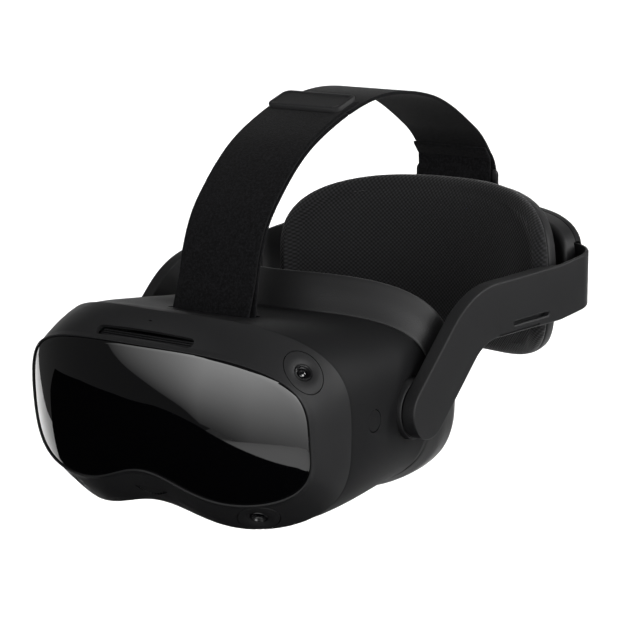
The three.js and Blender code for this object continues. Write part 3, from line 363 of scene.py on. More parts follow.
seam_shape = (visor_half, visor_top - widest_z, 3, visor_bottom + widest_z, 3.4, 11.5, 33)
glass_shape = (visor_half - bezel_side, seam_shape[1] - bezel_top, 3.2, seam_shape[3] - bezel_bottom, 3.6,
               13.1, 30)


def seam_depth(x, z=0):
    return seam_y + seam_sweep * x * x


def glass_depth(x, z):
    rise = z - widest_z
    return seam_y - bezel_length + 0.00134 * x**2 + 1.8e-7 * x**4 - 0.0845 * rise + 0.00296 * rise**2


glass_edge = ring(glass_shape, glass_depth)
seam_edge = ring(seam_shape, seam_depth)
lip = inset(glass_edge, -0.4, -0.1)


def bezel_rows(count):
    shares = np.linspace(0, 1, count)
    return [between(lip, seam_edge, share, bezel_bulge) for share in shares]


outer = bezel_rows(26)
bead = [inset(glass_edge, -0.12, 0.6), inset(glass_edge, -0.18, -0.25), inset(glass_edge, -0.6, -0.5),
        inset(glass_edge, -0.95, -0.48), inset(glass_edge, -1.15, -0.2)]
edge = [inset(seam_edge, 0.1, 0.12), inset(seam_edge, 0.35, 0.2)]
inner = sunk(outer, wall)[::-1]
inner[0] = inset(seam_edge, 1.3 * wall, 0.2)
rebate = [inset(glass_edge, 3, 2.35 + wall), inset(glass_edge, 3, 2.35), inset(glass_edge, -0.12, 2.35)]
skin_rows = bead + outer[2:] + edge + inner[:-1] + rebate
bezel = hoop("bezel_moulding", skin_rows, charcoal)
bezel_face = BVHTree.FromPolygons([Vector(p) for p in np.vstack(outer)], bridge(RING, len(outer), False))


def ring_at(points, place):
    """The point of a ring at a share of the way round it from the top middle, towards the left."""
    reach = (place % 1) * len(points)
    i = int(reach)
    a, b = points[i % len(points)], points[(i + 1) % len(points)]
    return Vector(a + (b - a) * (reach - i))


def bezel_spot(place, share):
    """A frame on the bezel: X along the ring, Y across it, Z out of the surface."""
    rows = [between(lip, seam_edge, share + step, bezel_bulge) for step in (-0.1, 0, 0.1)]
    across = (ring_at(rows[2], place) - ring_at(rows[0], place)).normalized()
    along = ring_at(rows[1], place + 0.01) - ring_at(rows[1], place - 0.01)
    normal = along.cross(across).normalized()
    side = across.cross(normal)
    basis = Matrix((side, across, normal)).transposed().to_4x4()
    basis.translation = ring_at(rows[1], place)
    return basis


def oval(half_x, half_y, count=72):
    angle = np.linspace(0, 2 * np.pi, count, endpoint=False)
    return np.stack([half_x * np.cos(angle), half_y * np.sin(angle)], axis=1)


def stadium(length, height, count=12):
    """Points round a slot with round ends, anticlockwise."""
    radius, reach = height / 2, (length - height) / 2
    points = []
    for centre, start in ((reach, -math.pi / 2), (-reach, math.pi / 2)):
        for i in range(count + 1):
            angle = start + i * math.pi / count
            points.append((centre + radius * math.cos(angle), radius * math.sin(angle)))
    return np.array(points)


def prism(basis, section, low, high):
    """A straight body with a given section, drawn in a frame, to cut with."""
    rows = [[basis @ Vector((u, v, h)) for u, v in section] for h in (low, high)]
    return plug("cutter", [np.array(row) for row in rows], None)


camera_spots = {"top_left": (0.176, 0.45), "top_right": (-0.176, 0.45),
                "bottom_left": (0.375, 0.48), "bottom_right": (-0.375, 0.48)}
patch_along, patch_across = 11.8, 9.4
vent_spot = bezel_spot(0, 0.24)
vent_length, vent_height = 62, 5.5
cutters = [prism(bezel_spot(*spot), oval(patch_along + gap, patch_across + gap), -8, 8)
           for spot in camera_spots.values()]
cutters.append(prism(vent_spot, stadium(vent_length, vent_height), -9, 4))
wheel_y, wheel_z, wheel_radius, wheel_width = seam_y - 5, -15, 18.5, 3
wheel_basis = Matrix.Translation((0, wheel_y, wheel_z)) @ Matrix.Rotation(math.pi / 2, 4, "X")
cutters.append(prism(wheel_basis, oval(wheel_radius + gap, wheel_radius + gap), -2, 2))
microphone = bezel_spot(0, 0.62)
cutters.append(prism(microphone, stadium(2.2, 0.8, 6), -1.2, 2))
cut(bezel, cutters)
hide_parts("front_bezel")
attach(bezel, "visor")

# ---------------------------------------------------------------- camera covers
# Each tracking camera sits behind an oval cover of the same charcoal plastic, flush with the bezel and
# dished towards its bore. A hairline joint shows round it.
bore_radius = 4.5


def camera_cover(name, basis):
    edge_oval = oval(patch_along, patch_across)
    bore = oval(bore_radius, bore_radius)
    toward = (basis.to_3x3() @ Vector((0, 0, -1))).normalized()
    rows = []
    for share in (1, 0.985, 0.9, 0.8, 0.7, 0.6, 0.5, 0.4, 0.3, 0.2, 0.1, 0.03, 0):
        row = []
        for (u, v), (bu, bv) in zip(edge_oval, bore):
            x, y = bu + (u - bu) * share, bv + (v - bv) * share
            start = basis @ Vector((x, y, 12))
            hit = bezel_face.ray_cast(start, toward, 30)[0]
            dip = 1.1 * max(0, 1 - (math.hypot(x, y) - bore_radius) / 4.5) ** 2
            if share == 1:
                dip += 0.12
            if share == 0:
                dip += 0.12
            row.append(hit + toward * dip)
        rows.append(np.array(row))
    for share in (0, 1):
        rows.append(rows[-1 if share == 0 else 0] + np.array(toward) * 2)
    piece = hoop(f"camera_surround_{name}", rows, charcoal, 40)
    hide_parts(f"camera_cover_{name}")
    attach(piece, "visor")


for camera_name, spot in camera_spots.items():
    camera_cover(camera_name, bezel_spot(*spot))

# ---------------------------------------------------------------- camera modules
# Wide-angle tracking camera: a black anodised barrel with a stepped, glossy mouth and a small domed
# glass at the bottom. It is screwed to the bezel from inside.


def gloss_black(name, shade, roughness, coat):
    """Glossy black, lacquered or polished: one clean reflection, faint smears in the gloss."""
    material, output = new_material(name)
    spot = put(material, "TexCoord").outputs["Object"]
    smear = put(material, "TexNoise", {"Vector": spot, "Scale": 45.0, "Detail": 5.0})
    gloss = put(material, "MapRange", {"Value": smear.outputs["Fac"], "To Min": roughness,
                                       "To Max": roughness + 0.03})
    body = put(material, "BsdfPrincipled", {
        "Base Color": linear(shade), "Roughness": gloss.outputs["Result"], "IOR": 1.52,
        "Coat Weight": coat, "Coat Roughness": 0.02,
    })
    material.node_tree.links.new(body.outputs["BSDF"], output.inputs["Surface"])
    return material


barrel_black = gloss_black("black_anodised_barrel_polished", "#08080a", 0.3, 0.2)
lens_black = gloss_black("coated_camera_glass_polished", "#050508", 0.02, 1.0)


def round_rows(basis, profile, count=96):
    """Circles about a frame's Z axis, one for each (radius, height) pair."""
    angle = np.linspace(0, 2 * np.pi, count, endpoint=False)
    rows = []
    for radius, height in profile:
        points = [(radius * math.cos(a), radius * math.sin(a), height) for a in angle]
        rows.append(np.array([basis @ Vector(p) for p in points]))
    return rows


def turned(name, basis, profile, material, count=64, sharp=30):
    """A body turned about a frame's Z axis from (radius, height) pairs, from axis to axis."""
    return plug(name, round_rows(basis, profile, count), material, sharp)


def camera_module(name, basis):
    tube = [(3, -8), (4.3, -8), (4.3, -1.15), (4.15, -0.95), (3.85, -0.95), (3.6, -1.1), (3.2, -2.2),
            (3.0, -2.3), (2.5, -3.4), (2.3, -3.4), (2.3, -5)]
    body = turned(f"camera_barrel_{name}", basis, tube, barrel_black)
    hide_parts(f"camera_module_{name}")
    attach(body, "visor")
    dome = [(2.3, -4.5), (2.3, -3.2)] + [(2.3 * math.cos(a), -3.2 + 1.4 * math.sin(a))
                                          for a in np.linspace(0.15, 1.5, 8)]
    glass = turned(f"camera_glass_{name}", basis, dome, lens_black)
    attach(glass, "visor")


for camera_name, spot in camera_spots.items():
    camera_module(camera_name, bezel_spot(*spot))

# ---------------------------------------------------------------- vent gauze
# A strip of black woven steel gauze, its holes painted near black as painted shade, closes the air slot from
# inside, about 2 mm below the skin.


def gauze_steel():
    """Painted woven wire: a bright grid of wires over holes painted near black, painted shade standing in for
    the dark slot seen through them. The real wires are 0.3 mm apart; they are drawn 0.9 mm apart so that the
    weave shows."""
    material, output = new_material("black_steel_gauze_woven_holes_painted_shade")
    spot = put(material, "TexCoord").outputs["Object"]
    pitch = 0.9
    turns = 2 * math.pi * 1000 / pitch / 20
    heights = []
    for direction in ("X", "Z"):
        wave = put(material, "TexWave", {"Vector": spot, "Scale": turns, "Distortion": 0.0},
                   bands_direction=direction)
        heights.append(wave.outputs["Fac"])
    weave = put(material, "Math", {0: heights[0], 1: heights[1]}, operation="MAXIMUM")
    tone = put(material, "ValToRGB", {"Fac": weave.outputs["Value"]})
    tone.color_ramp.elements[0].position, tone.color_ramp.elements[1].position = 0.45, 0.85
    # The near-black colour of the holes is painted shade, the dark inside of the slot behind the weave.
    tone.color_ramp.elements[0].color = linear("#010101")
    tone.color_ramp.elements[1].color = linear("#1c1c1e")
    relief = put(material, "Bump", {"Height": weave.outputs["Value"], "Strength": 0.8, "Distance": 0.0003})
    body = put(material, "BsdfPrincipled", {
        "Base Color": tone.outputs["Color"], "Normal": relief.outputs["Normal"], "Metallic": 0.6,
        "Roughness": 0.4,
    })
    material.node_tree.links.new(body.outputs["BSDF"], output.inputs["Surface"])
    return material


def vent_gauze():
    toward = (vent_spot.to_3x3() @ Vector((0, 0, -1))).normalized()
    rows = []
    for share, sink in ((0.02, 3.6), (1, 3.6), (1, 2.8), (0.02, 2.8)):
        row = []
        for u, v in stadium(vent_length - 0.6, vent_height - 0.6):
            start = vent_spot @ Vector((u, v * share, 12))
            row.append(bezel_face.ray_cast(start, toward, 30)[0] + toward * sink)
        rows.append(np.array(row))
    piece = hoop("vent_gauze", rows, gauze_steel())
    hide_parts("vent_mesh")
    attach(piece, "visor")


vent_gauze()

# ---------------------------------------------------------------- front glass
# One panel of black-tinted polycarbonate, hard-coated and polished, glued in the bezel's rebate. It is
# domed by 3 mm, so that a long soft reflection bends across it.
glass_dome, glass_middle = 3, widest_z + 8


def glass_face(share, back):
    x = glass_edge[:, 0] * share
    z = glass_middle + (glass_edge[:, 2] - glass_middle) * share
    return np.stack([x, glass_depth(x, z) - glass_dome * (1 - share**2) + back, z], axis=1)


front = [glass_face(share, 0) for share in np.linspace(0.02, 0.985, 30)]
front.append(inset(glass_edge, 0.12, 0.1))
front.append(inset(glass_edge, 0.02, 0.3))
back = [inset(glass_edge, 0.02, 1.9), glass_face(0.97, 2), glass_face(0.5, 2)]
hard_coat = gloss_black("black_polycarbonate_hard_coated", "#030304", 0.015, 1.0)
panel = plug("glass_panel", front + back, hard_coat)
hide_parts("front_glass")
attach(panel, "visor")

# ---------------------------------------------------------------- eye spacing wheel
# A knurled wheel of satin black acetal behind the nose turns the pinion that spreads the lens barrels.
# Its rim shows through a slot under the nose.
satin_black = moulded_plastic("black_acetal_moulded", "#0a0a0b", "#0d0d0e", 0.4, 0.5, 0.1)
pinion_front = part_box("ipd_wheel")[1].y * 1000


def knurled(radius, ridges, depth, count=6):
    """Radii round a knurled rim: shallow valleys between rounded ridges."""
    angle = np.linspace(0, 2 * np.pi, ridges * count, endpoint=False)
    return angle, radius - depth * (0.5 - 0.5 * np.cos(angle * ridges)) ** 2


def knurled_rows(basis, profile, ridges, depth):
    rows = []
    for radius, height, share in profile:
        angle, reach = knurled(radius, ridges, depth * share)
        rows.append(np.array([basis @ Vector((r * math.cos(a), r * math.sin(a), height))
                              for a, r in zip(angle, reach)]))
    return rows


half_width = wheel_width / 2
wheel_profile = [(1.5, pinion_front - wheel_y, 0), (1.5, half_width, 0), (17.6, half_width, 0),
                 (18.5, half_width - 0.6, 1), (18.5, -half_width + 0.6, 1), (17.6, -half_width, 0),
                 (4, -half_width, 0)]
back_basis = Matrix.Translation((0, wheel_y, wheel_z)) @ Matrix.Rotation(-math.pi / 2, 4, "X")
wheel = plug("spacing_wheel", knurled_rows(back_basis, wheel_profile, 60, 0.5), satin_black)
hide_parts("ipd_wheel")
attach(wheel, "eye_spacing_wheel")

# ---------------------------------------------------------------- main shell
# The body of the visor: a darker graphite moulding, smooth and finely textured, that tapers back to the
# gasket's rim. Its top is scooped out where the strap goes down into its slot.
rim_inset, rim_drop, rim_sweep, waist_place, seam_step = 6.2, 8.8, 0.004, 0.64, 0.5
graphite = moulded_plastic("graphite_polycarbonate_moulded", "#161617", "#181819", 0.58, 0.45, 0.22, 0.14)
waist_shape = (visor_half - rim_inset * waist_place, seam_shape[1] - rim_drop * waist_place, 3.5,
               seam_shape[3] - 2, 3.35, 10, 32)
rim_shape = (visor_half - rim_inset, seam_shape[1] - rim_drop, 3.8, seam_shape[3] - 4, 3.3, 22, 26)


def rim_depth(x, z=0):
    return seam_y + visor_depth + rim_sweep * x * x


def waist_depth(x, z=0):
    return seam_depth(x) + (rim_depth(x) - seam_depth(x)) * waist_place


shell_front = inset(seam_edge, seam_step, gap)
waist_edge = ring(waist_shape, waist_depth)
rim_edge = ring(rim_shape, rim_depth)
knots = [(0, shell_front), (0.32, between(shell_front, waist_edge, 0.5, 1)), (waist_place, waist_edge),
         (1, rim_edge)]


def shell_row(share):
    """A smooth curve through the four section rings, by Lagrange's formula."""
    row = np.zeros_like(rim_edge)
    for i, (place_i, points) in enumerate(knots):
        weight = 1
        for j, (place_j, _) in enumerate(knots):
            if j != i:
                weight *= (share - place_j) / (place_i - place_j)
        row += points * weight
    return row


def scooped(row):
    """The deck behind the bezel dips towards the strap slot."""
    deep = 3.2 * np.exp(-((row[:, 0] / 50) ** 4)) * np.exp(-(((row[:, 1] + 66) / 22) ** 4))
    lift = np.clip((row[:, 2] - 40) / 12, 0, 1)
    lowered = row.copy()
    lowered[:, 2] -= deep * lift
    return lowered


shares = np.concatenate([[0, 0.006, 0.014], np.linspace(0.03, 0.97, 44), [0.985, 0.994, 1]])
drops = {0: 0.9, 1: 0.25, 2: 0.05, len(shares) - 1: 0.8, len(shares) - 2: 0.2}
outside = [inset(scooped(shell_row(share)), drops.get(i, 0)) for i, share in enumerate(shares)]
skin = 2.2
inside = sunk(outside[1:-1:3], skin)[::-1]
inside[0] = inset(rim_edge, wall, 0)
inside[0][:, 1] = rim_depth(inside[0][:, 0])
inside[-1] = inset(shell_front, wall)
shell = hoop("shell_moulding", outside + inside, graphite)

hinge_y, hinge_z, hub_radius = -11.5, 5, 15.5
button_radius, button_y, button_z = 5.5, -49, 6
rocker_length, rocker_height, rocker_z = 23, 7.4, 9
port_width, port_height, port_z = 12, 5.6, -16
strap_width, anchor_y, anchor_z = 49, seam_y + 42, 44


def side_basis(side, x, y, z):
    """A frame on one side of the headset: X along +Y, Y up, Z outwards."""
    outwards = Vector((side, 0, 0))
    basis = Matrix((Vector((0, 1, 0)) * side, Vector((0, 0, 1)), outwards)).transposed().to_4x4()
    basis.translation = Vector((side * x, y, z))
    return basis


def rounded_box(width, height, radius, count=6):
    """Points round a rectangle with rounded corners."""
    points = []
    for k, (sx, sy) in enumerate(((1, -1), (1, 1), (-1, 1), (-1, -1))):
        for i in range(count + 1):
            angle = (k - 1) * math.pi / 2 + i * math.pi / 2 / count
            points.append((sx * (width / 2 - radius) + radius * math.cos(angle),
                           sy * (height / 2 - radius) + radius * math.sin(angle)))
    return np.array(points)


slot_basis = Matrix.Translation((0, anchor_y + 1.5, 40))
cutters = [prism(slot_basis, rounded_box(strap_width + 3, 14, 2.5), 0, 30)]
for side in (1, -1):
    cutters.append(prism(side_basis(side, 70, hinge_y, hinge_z),
                         oval(hub_radius + gap, hub_radius + gap, 96), 0, 40))
cutters.append(prism(side_basis(1, 70, button_y, button_z),
                     oval(button_radius + gap, button_radius + gap, 64), 0, 40))
cutters.append(prism(side_basis(-1, 70, button_y, rocker_z),
                     stadium(rocker_length + 2 * gap, rocker_height + 2 * gap, 16), 0, 40))
cutters.append(prism(side_basis(-1, 70, button_y, port_z),
                     rounded_box(port_width + 2 * gap, port_height + 2 * gap, 1.6), 0, 40))
cut(shell, cutters)
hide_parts("main_shell")
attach(shell, "visor")

# ---------------------------------------------------------------- hinge bushes
# A charcoal bush is pressed into each side of the shell. Its chamfered rim shows as a bright ring round
# the arm's hub, and the steel hinge pin runs through it.
bush_face, bush_depth = 93.65, 7
bush_profile = [(4.85, -bush_depth), (14.8, -bush_depth), (15.5, -bush_depth + 0.7), (15.5, -0.75),
                (15.35, -0.3), (15.0, -0.02), (14.6, 0), (13.9, -0.5), (4.85, -0.5)]
for side, side_name in ((1, "left"), (-1, "right")):
    basis = side_basis(side, bush_face, hinge_y, hinge_z)
    bush = hoop(f"bush_{side_name}", round_rows(basis, bush_profile), charcoal, 35)
    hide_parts(f"hinge_bush_{side_name}")
    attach(bush, "visor")


def ground_steel():
    """Ground stainless steel: fine bright scratches round the pin."""
    material, output = new_material("stainless_steel_ground")
    spot = put(material, "TexCoord").outputs["Object"]
    streak = put(material, "Mapping", {"Vector": spot, "Scale": (90.0, 2500.0, 2500.0)})
    grain = put(material, "TexNoise", {"Vector": streak.outputs["Vector"], "Scale": 1.0, "Detail": 3.0})
    gloss = put(material, "MapRange", {"Value": grain.outputs["Fac"], "To Min": 0.22, "To Max": 0.38})
    body = put(material, "BsdfPrincipled", {
        "Base Color": linear("#b4b6b9"), "Metallic": 1.0, "Roughness": gloss.outputs["Result"],
    })
    material.node_tree.links.new(body.outputs["BSDF"], output.inputs["Surface"])
    return material


steel = ground_steel()


def dress(material, *nodes):
    """A CAD node whose shape is right keeps it and gets the real finish."""
    for name in nodes:
        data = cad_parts[name].data
        data.materials.clear()
        data.materials.append(material)


dress(steel, "hinge_pin_left", "hinge_pin_right", "strap_anchor", "guide_rod_upper", "guide_rod_lower")

# ---------------------------------------------------------------- power button and volume rocker
# Both keys are graphite like the shell and stand flush with it, so only a thin ring of shadow shows.
# The button's face is slightly dished, and the rocker has a raised bar at each end.


def flush_key(name, basis, section, rise, depth, material):
    """A key with a rounded edge: the section drawn in towards the middle as it rises to its face."""
    rows = []
    section = np.array(section)
    reach = np.linalg.norm(section, axis=1).max()
    for margin, height in ((0, -depth), (0, -0.5), (0.08, -0.2), (0.3, 0), (1.2, -0.02), (2.4, -rise)):
        share = 1 - margin / reach
        rows.append(np.array([basis @ Vector((u * share, v * share, height)) for u, v in section]))
    return plug(name, rows, material, 40)


button_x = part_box("power_button")[1].x * 1000
button = flush_key("button_key", side_basis(1, button_x, button_y, button_z),
                   oval(button_radius, button_radius, 64), 0.25, 5, graphite)
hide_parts("power_button")
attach(button, "power_button")
rocker_x = -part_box("volume_rocker")[0].x * 1000
rocker = flush_key("rocker_key", side_basis(-1, rocker_x, button_y, rocker_z),
                   stadium(rocker_length, rocker_height, 16), -0.15, 5, graphite)
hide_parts("volume_rocker")
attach(rocker, "volume_rocker")

# ---------------------------------------------------------------- charging port
# The port is a drawn steel shell with a black tongue of contacts inside it.
port_x = -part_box("charging_port")[0].x * 1000
port_basis = side_basis(-1, port_x, button_y, port_z)


def section_rows(basis, steps):
    return [np.array([basis @ Vector((u, v, h)) for u, v in rounded_box(w, t, r)]) for w, t, r, h in steps]


port = hoop("port_shell", section_rows(port_basis, [
    (port_width, port_height, 1.4, -9), (port_width, port_height, 1.4, -0.3), (11.6, 5.2, 1.3, 0),
    (9.4, 3.6, 1.5, 0), (9, 3.2, 1.4, -0.3), (9, 3.2, 1.4, -8), ]), steel, 40)
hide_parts("charging_port")
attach(port, "visor")
tongue = plug("charging_tongue", section_rows(port_basis, [
    (6.8, 1.0, 0.3, -8.5), (6.8, 1.0, 0.3, -1.2), (6.4, 0.7, 0.3, -0.9)]), satin_black, 40)
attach(tongue, "visor")

# ---------------------------------------------------------------- gasket frame and face gasket
# A thin black plate holds the gasket to the shell by magnets. The gasket is soft foam about 10 mm thick
# in a matte synthetic leather, rising to rest on the brow and cut away over the nose.
gasket_rise, gasket_reach, gasket_sweep, gasket_contact = 19, 10, 0.0016, 8
opening_shape = (rim_shape[0] - 12, rim_shape[1] - 10, 3.8, rim_shape[3] - 5, 3.3, 20.5, 22)
opening = ring(opening_shape, rim_depth)
plate = [inset(rim_edge, 0.6, gap), inset(opening, 0, gap), inset(opening, 0, gap + 1.7),
         inset(opening, -0.3, gap + 2), inset(rim_edge, 0.9, gap + 2), inset(rim_edge, 0.6, gap + 1.7)]
gasket_frame = hoop("gasket_plate", plate, satin_black)
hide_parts("gasket_frame")
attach(gasket_frame, "visor")


def soft_leather():
    """Synthetic leather over foam: pebble grain about 0.7 mm across, drawn full size, and a dull sheen
    that lightens the surface at glancing angles."""
    material, output = new_material("black_polyurethane_leather_embossed")
    spot = put(material, "TexCoord").outputs["Object"]
    pebble = put(material, "TexVoronoi", {"Vector": spot, "Scale": 1000 / 0.7}, feature="SMOOTH_F1")
    cloud = put(material, "TexNoise", {"Vector": spot, "Scale": 35.0, "Detail": 4.0})
    tone = put(material, "ValToRGB", {"Fac": cloud.outputs["Fac"]})
    tone.color_ramp.elements[0].color = linear("#161617")
    tone.color_ramp.elements[1].color = linear("#1b1b1c")
    relief = put(material, "Bump", {"Height": pebble.outputs["Distance"], "Strength": 0.25,
                                    "Distance": 0.0003})
    body = put(material, "BsdfPrincipled", {
        "Base Color": tone.outputs["Color"], "Normal": relief.outputs["Normal"], "Roughness": 0.52,
        "IOR": 1.5, "Sheen Weight": 0.25, "Sheen Roughness": 0.4,
    })
    material.node_tree.links.new(body.outputs["BSDF"], output.inputs["Surface"])
    return material


leather = soft_leather()
crest_shape = (rim_shape[0] + 0.4, rim_shape[1] + gasket_rise, 3.6, rim_shape[3] + 1.5, 3.3, 27, 26)
crest = ring(crest_shape, lambda x, z: rim_depth(x) + gasket_reach + gasket_sweep * x**2)
foot = gap + 2 + gap
base = inset(rim_edge, 0.2, foot)
shoulder = between(base, crest, 0.5, 1.5)
contact = between(crest, opening, 0.35)
contact[:, 1] = crest[:, 1] + gasket_contact
inside_edge = inset(opening, 0.5, gasket_reach + gasket_contact - 3)
inside_edge[:, 1] += gasket_sweep * inside_edge[:, 0] ** 2
root = inset(opening, 0, foot)


def closed_curve(corners, steps):
    """Rings along a smooth closed curve that rounds the corner rings off, by cubic B-spline."""
    rows = []
    count = len(corners)
    for k in range(count):
        a, b, c, d = (corners[(k + i - 1) % count] for i in range(4))
        for t in np.linspace(0, 1, steps, endpoint=False):
            rows.append((a * (1 - t) ** 3 + b * (3 * t**3 - 6 * t**2 + 4)
                         + c * (-3 * t**3 + 3 * t**2 + 3 * t + 1) + d * t**3) / 6)
    return rows


corners = [
    base, between(base, shoulder, 0.12), between(base, shoulder, 0.6),
    shoulder, between(shoulder, crest, 0.6),
    crest, between(crest, contact, 0.25), between(crest, contact, 0.65),
    contact, between(contact, inside_edge, 0.5),
    inside_edge, between(inside_edge, root, 0.5),
    root, between(root, base, 0.1), between(root, base, 0.9),
]
gasket = hoop("gasket_cushion", closed_curve(corners, 4), leather, 60)
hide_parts("face_gasket")
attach(gasket, "visor")

# ---------------------------------------------------------------- lens barrels, lenses and displays
# Each eye looks down a black moulded barrel at a thick polished lens, with its display glued behind it.
# The barrels slide on two ground rods and are drawn together by racks on the spacing wheel's pinion.
eye_half, barrel_rear, barrel_radius = 32, -17, 25


def lens_resin():
    """Cast optical resin: clear, polished, with the cool tint of its coating."""
    material, output = new_material("optical_resin_cast_coated")
    body = put(material, "BsdfPrincipled", {
        "Base Color": linear("#dfe6f2"), "Roughness": 0.02, "IOR": 1.56, "Transmission Weight": 0.9,
        "Coat Weight": 0.5, "Coat Tint": linear("#b9c8ff"),
    })
    spot = put(material, "TexCoord").outputs["Object"]
    haze = put(material, "TexNoise", {"Vector": spot, "Scale": 60.0, "Detail": 3.0})
    gloss = put(material, "MapRange", {"Value": haze.outputs["Fac"], "To Min": 0.01, "To Max": 0.04})
    material.node_tree.links.new(gloss.outputs["Result"], body.inputs["Roughness"])
    material.node_tree.links.new(body.outputs["BSDF"], output.inputs["Surface"])
    return material


resin = lens_resin()
barrel_profile = [(22.5, -44), (barrel_radius, -44), (barrel_radius, barrel_rear - 0.5), (24.5, barrel_rear),
                  (23.2, barrel_rear), (22.9, -17.4), (22.7, -22), (22.5, -24)]
lens_radius, lens_edge, lens_crown = 22.15, -24, 5
for side, side_name in ((1, "left"), (-1, "right")):
    basis = Matrix.Translation((side * eye_half, 0, 0)) @ Matrix.Rotation(-math.pi / 2, 4, "X")
    sleeve = hoop(f"lens_sleeve_{side_name}", round_rows(basis, barrel_profile), satin_black, 35)
    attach(sleeve, f"lens_{side_name}")
    bulge = [(lens_radius * math.sin(a), lens_edge + lens_crown - 3 * math.sin(a) ** 2)
             for a in np.linspace(0.03, math.pi / 2, 14)]
    hollow = [(r, 2 * lens_edge - h) for r, h in reversed(bulge)]
    eyepiece = turned(f"eyepiece_{side_name}", basis, bulge + hollow, resin, 96, 40)
    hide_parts(f"lens_{side_name}")
    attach(eyepiece, f"lens_{side_name}")
dress(satin_black, "lens_barrel_left", "lens_barrel_right", "inner_frame", "fan_housing", "fan_impeller",
      "rack_left", "rack_right", "speaker_left", "speaker_right")
dress(lens_black, "display_left", "display_right", "proximity_sensor")

# ---------------------------------------------------------------- electronics
# Main board with green solder resist, and a milled aluminium heat sink beside the fan, all inside.


def solder_resist():
    """Epoxy glass board under green solder resist: satin lacquer over faint copper tracks."""
    material, output = new_material("epoxy_board_solder_resist")
    spot = put(material, "TexCoord").outputs["Object"]
    tracks = put(material, "TexBrick", {"Vector": spot, "Scale": 160.0, "Mortar Size": 0.03,
                                        "Color1": linear("#12402c"), "Color2": linear("#153f2e"),
                                        "Mortar": linear("#2f6a45")})
    body = put(material, "BsdfPrincipled", {"Base Color": tracks.outputs["Color"], "Roughness": 0.35})
    material.node_tree.links.new(body.outputs["BSDF"], output.inputs["Surface"])
    return material


def milled_aluminium():
    """Milled aluminium: fine cutter marks along the fins."""
    material, output = new_material("aluminium_milled")
    spot = put(material, "TexCoord").outputs["Object"]
    marks = put(material, "TexWave", {"Vector": spot, "Scale": 160.0, "Distortion": 1.5}, bands_direction="Z")
    gloss = put(material, "MapRange", {"Value": marks.outputs["Fac"], "To Min": 0.28, "To Max": 0.42})
    body = put(material, "BsdfPrincipled", {
        "Base Color": linear("#a9abae"), "Metallic": 1.0, "Roughness": gloss.outputs["Result"],
    })
    material.node_tree.links.new(body.outputs["BSDF"], output.inputs["Surface"])
    return material


aluminium = milled_aluminium()
dress(solder_resist(), "main_board")
dress(aluminium, "heat_sink", "battery_cell_left", "battery_cell_right")

# ---------------------------------------------------------------- side arms and bands
# Each arm is a charcoal moulding, thick at the hinge hub and over the speaker, that thins behind it into
# a flexible band. The band bends round the head's corner and slides into the rear housing.
arm_outer, arm_thickness, arm_half = 101.5, 7.5, 14.7
arm_angle, arm_bend, arm_z, arm_end = math.radians(43.5), 45, 46.7, 113.5
band_half, band_thickness, band_corner, band_rise = 15.25, 2, 25, 4.3
housing_half, housing_y, housing_sweep = 86, 170, 0.0037
rack_x, rack_end_y = 30.35, 174.4


def arm_stations():
    """Stations from the hub to the housing: centre, up, outward, half height and thickness."""
    def corner_y():
        return hinge_y + (arm_z - hinge_z) / math.tan(arm_angle)
    tangent = arm_bend * math.tan(arm_angle / 2)
    slope = Vector((0, math.cos(arm_angle), math.sin(arm_angle)))
    rise = Vector((0, -math.sin(arm_angle), math.cos(arm_angle)))
    hub = Vector((0, hinge_y, hinge_z))
    stations = []
    for k in range(19):
        angle = math.pi / 2 * k / 18
        along, half = -arm_half * math.cos(angle), arm_half * math.sin(angle)
        stations.append((hub + slope * along, rise, max(half, 0.35)))
    run = (corner_y() - hinge_y) / math.cos(arm_angle) - tangent
    for k in range(1, 13):
        stations.append((hub + slope * run * k / 12, rise, arm_half))
    centre = Vector((0, corner_y() + tangent, arm_z - arm_bend))
    for k in range(1, 17):
        angle = math.pi / 2 + arm_angle * (1 - k / 16)
        out = Vector((0, math.cos(angle), math.sin(angle)))
        stations.append((centre + out * arm_bend, out, arm_half))
    start = centre.y
    for k in range(1, 26):
        y = start + (130 - start) * k / 25
        stations.append((Vector((0, y, arm_z)), Vector((0, 0, 1)), arm_half))
    return stations


def band_plan():
    """Plan points of the band's outer face past the arm, with outward directions."""
    x_middle = arm_outer - band_thickness / 2
    aim_x = housing_half - 3
    aim = Vector((aim_x, housing_y - housing_sweep * aim_x**2 + 14))
    end = Vector((rack_x, rack_end_y))
    run = (aim - end).normalized()
    corner_y = end.y + (x_middle - end.x) * run.y / run.x
    angle = math.pi / 2 - math.atan2(-run.y, run.x)
    tangent = band_corner * math.tan(angle / 2)
    centre = Vector((x_middle - band_corner, corner_y - tangent))
    points = []
    for k in range(1, 17):
        a = angle * k / 16
        out = Vector((math.cos(a), math.sin(a)))
        points.append((centre + out * band_corner, out))
    last, out = points[-1]
    for k in range(1, 9):
        points.append((last - run * 4 * k, out))
    return points


def smooth_step(value, low, high):
    t = min(max((value - low) / (high - low), 0), 1)
    return t * t * (3 - 2 * t)


def rounded_bar(half, thickness, outer_round, inner_round, count=5):
    """Points round a bar's section as (height, depth in from the outer face), with rounded edges."""
    points = []
    for sy, depth, radius, turn_from in ((-1, 0, outer_round, 0), (1, 0, outer_round, 1),
                                         (1, thickness, inner_round, 2), (-1, thickness, inner_round, 3)):
        radius = min(radius, half * 0.98, thickness * 0.49)
        side = 1 if depth == 0 else -1
        for i in range(count + 1):
            a = i * math.pi / 2 / count
            if turn_from in (0, 2):
                v, w = math.cos(a), math.sin(a)
            else:
                v, w = math.sin(a), math.cos(a)
            points.append((sy * (half - radius + radius * v), depth + side * (radius - radius * w)))
    return points


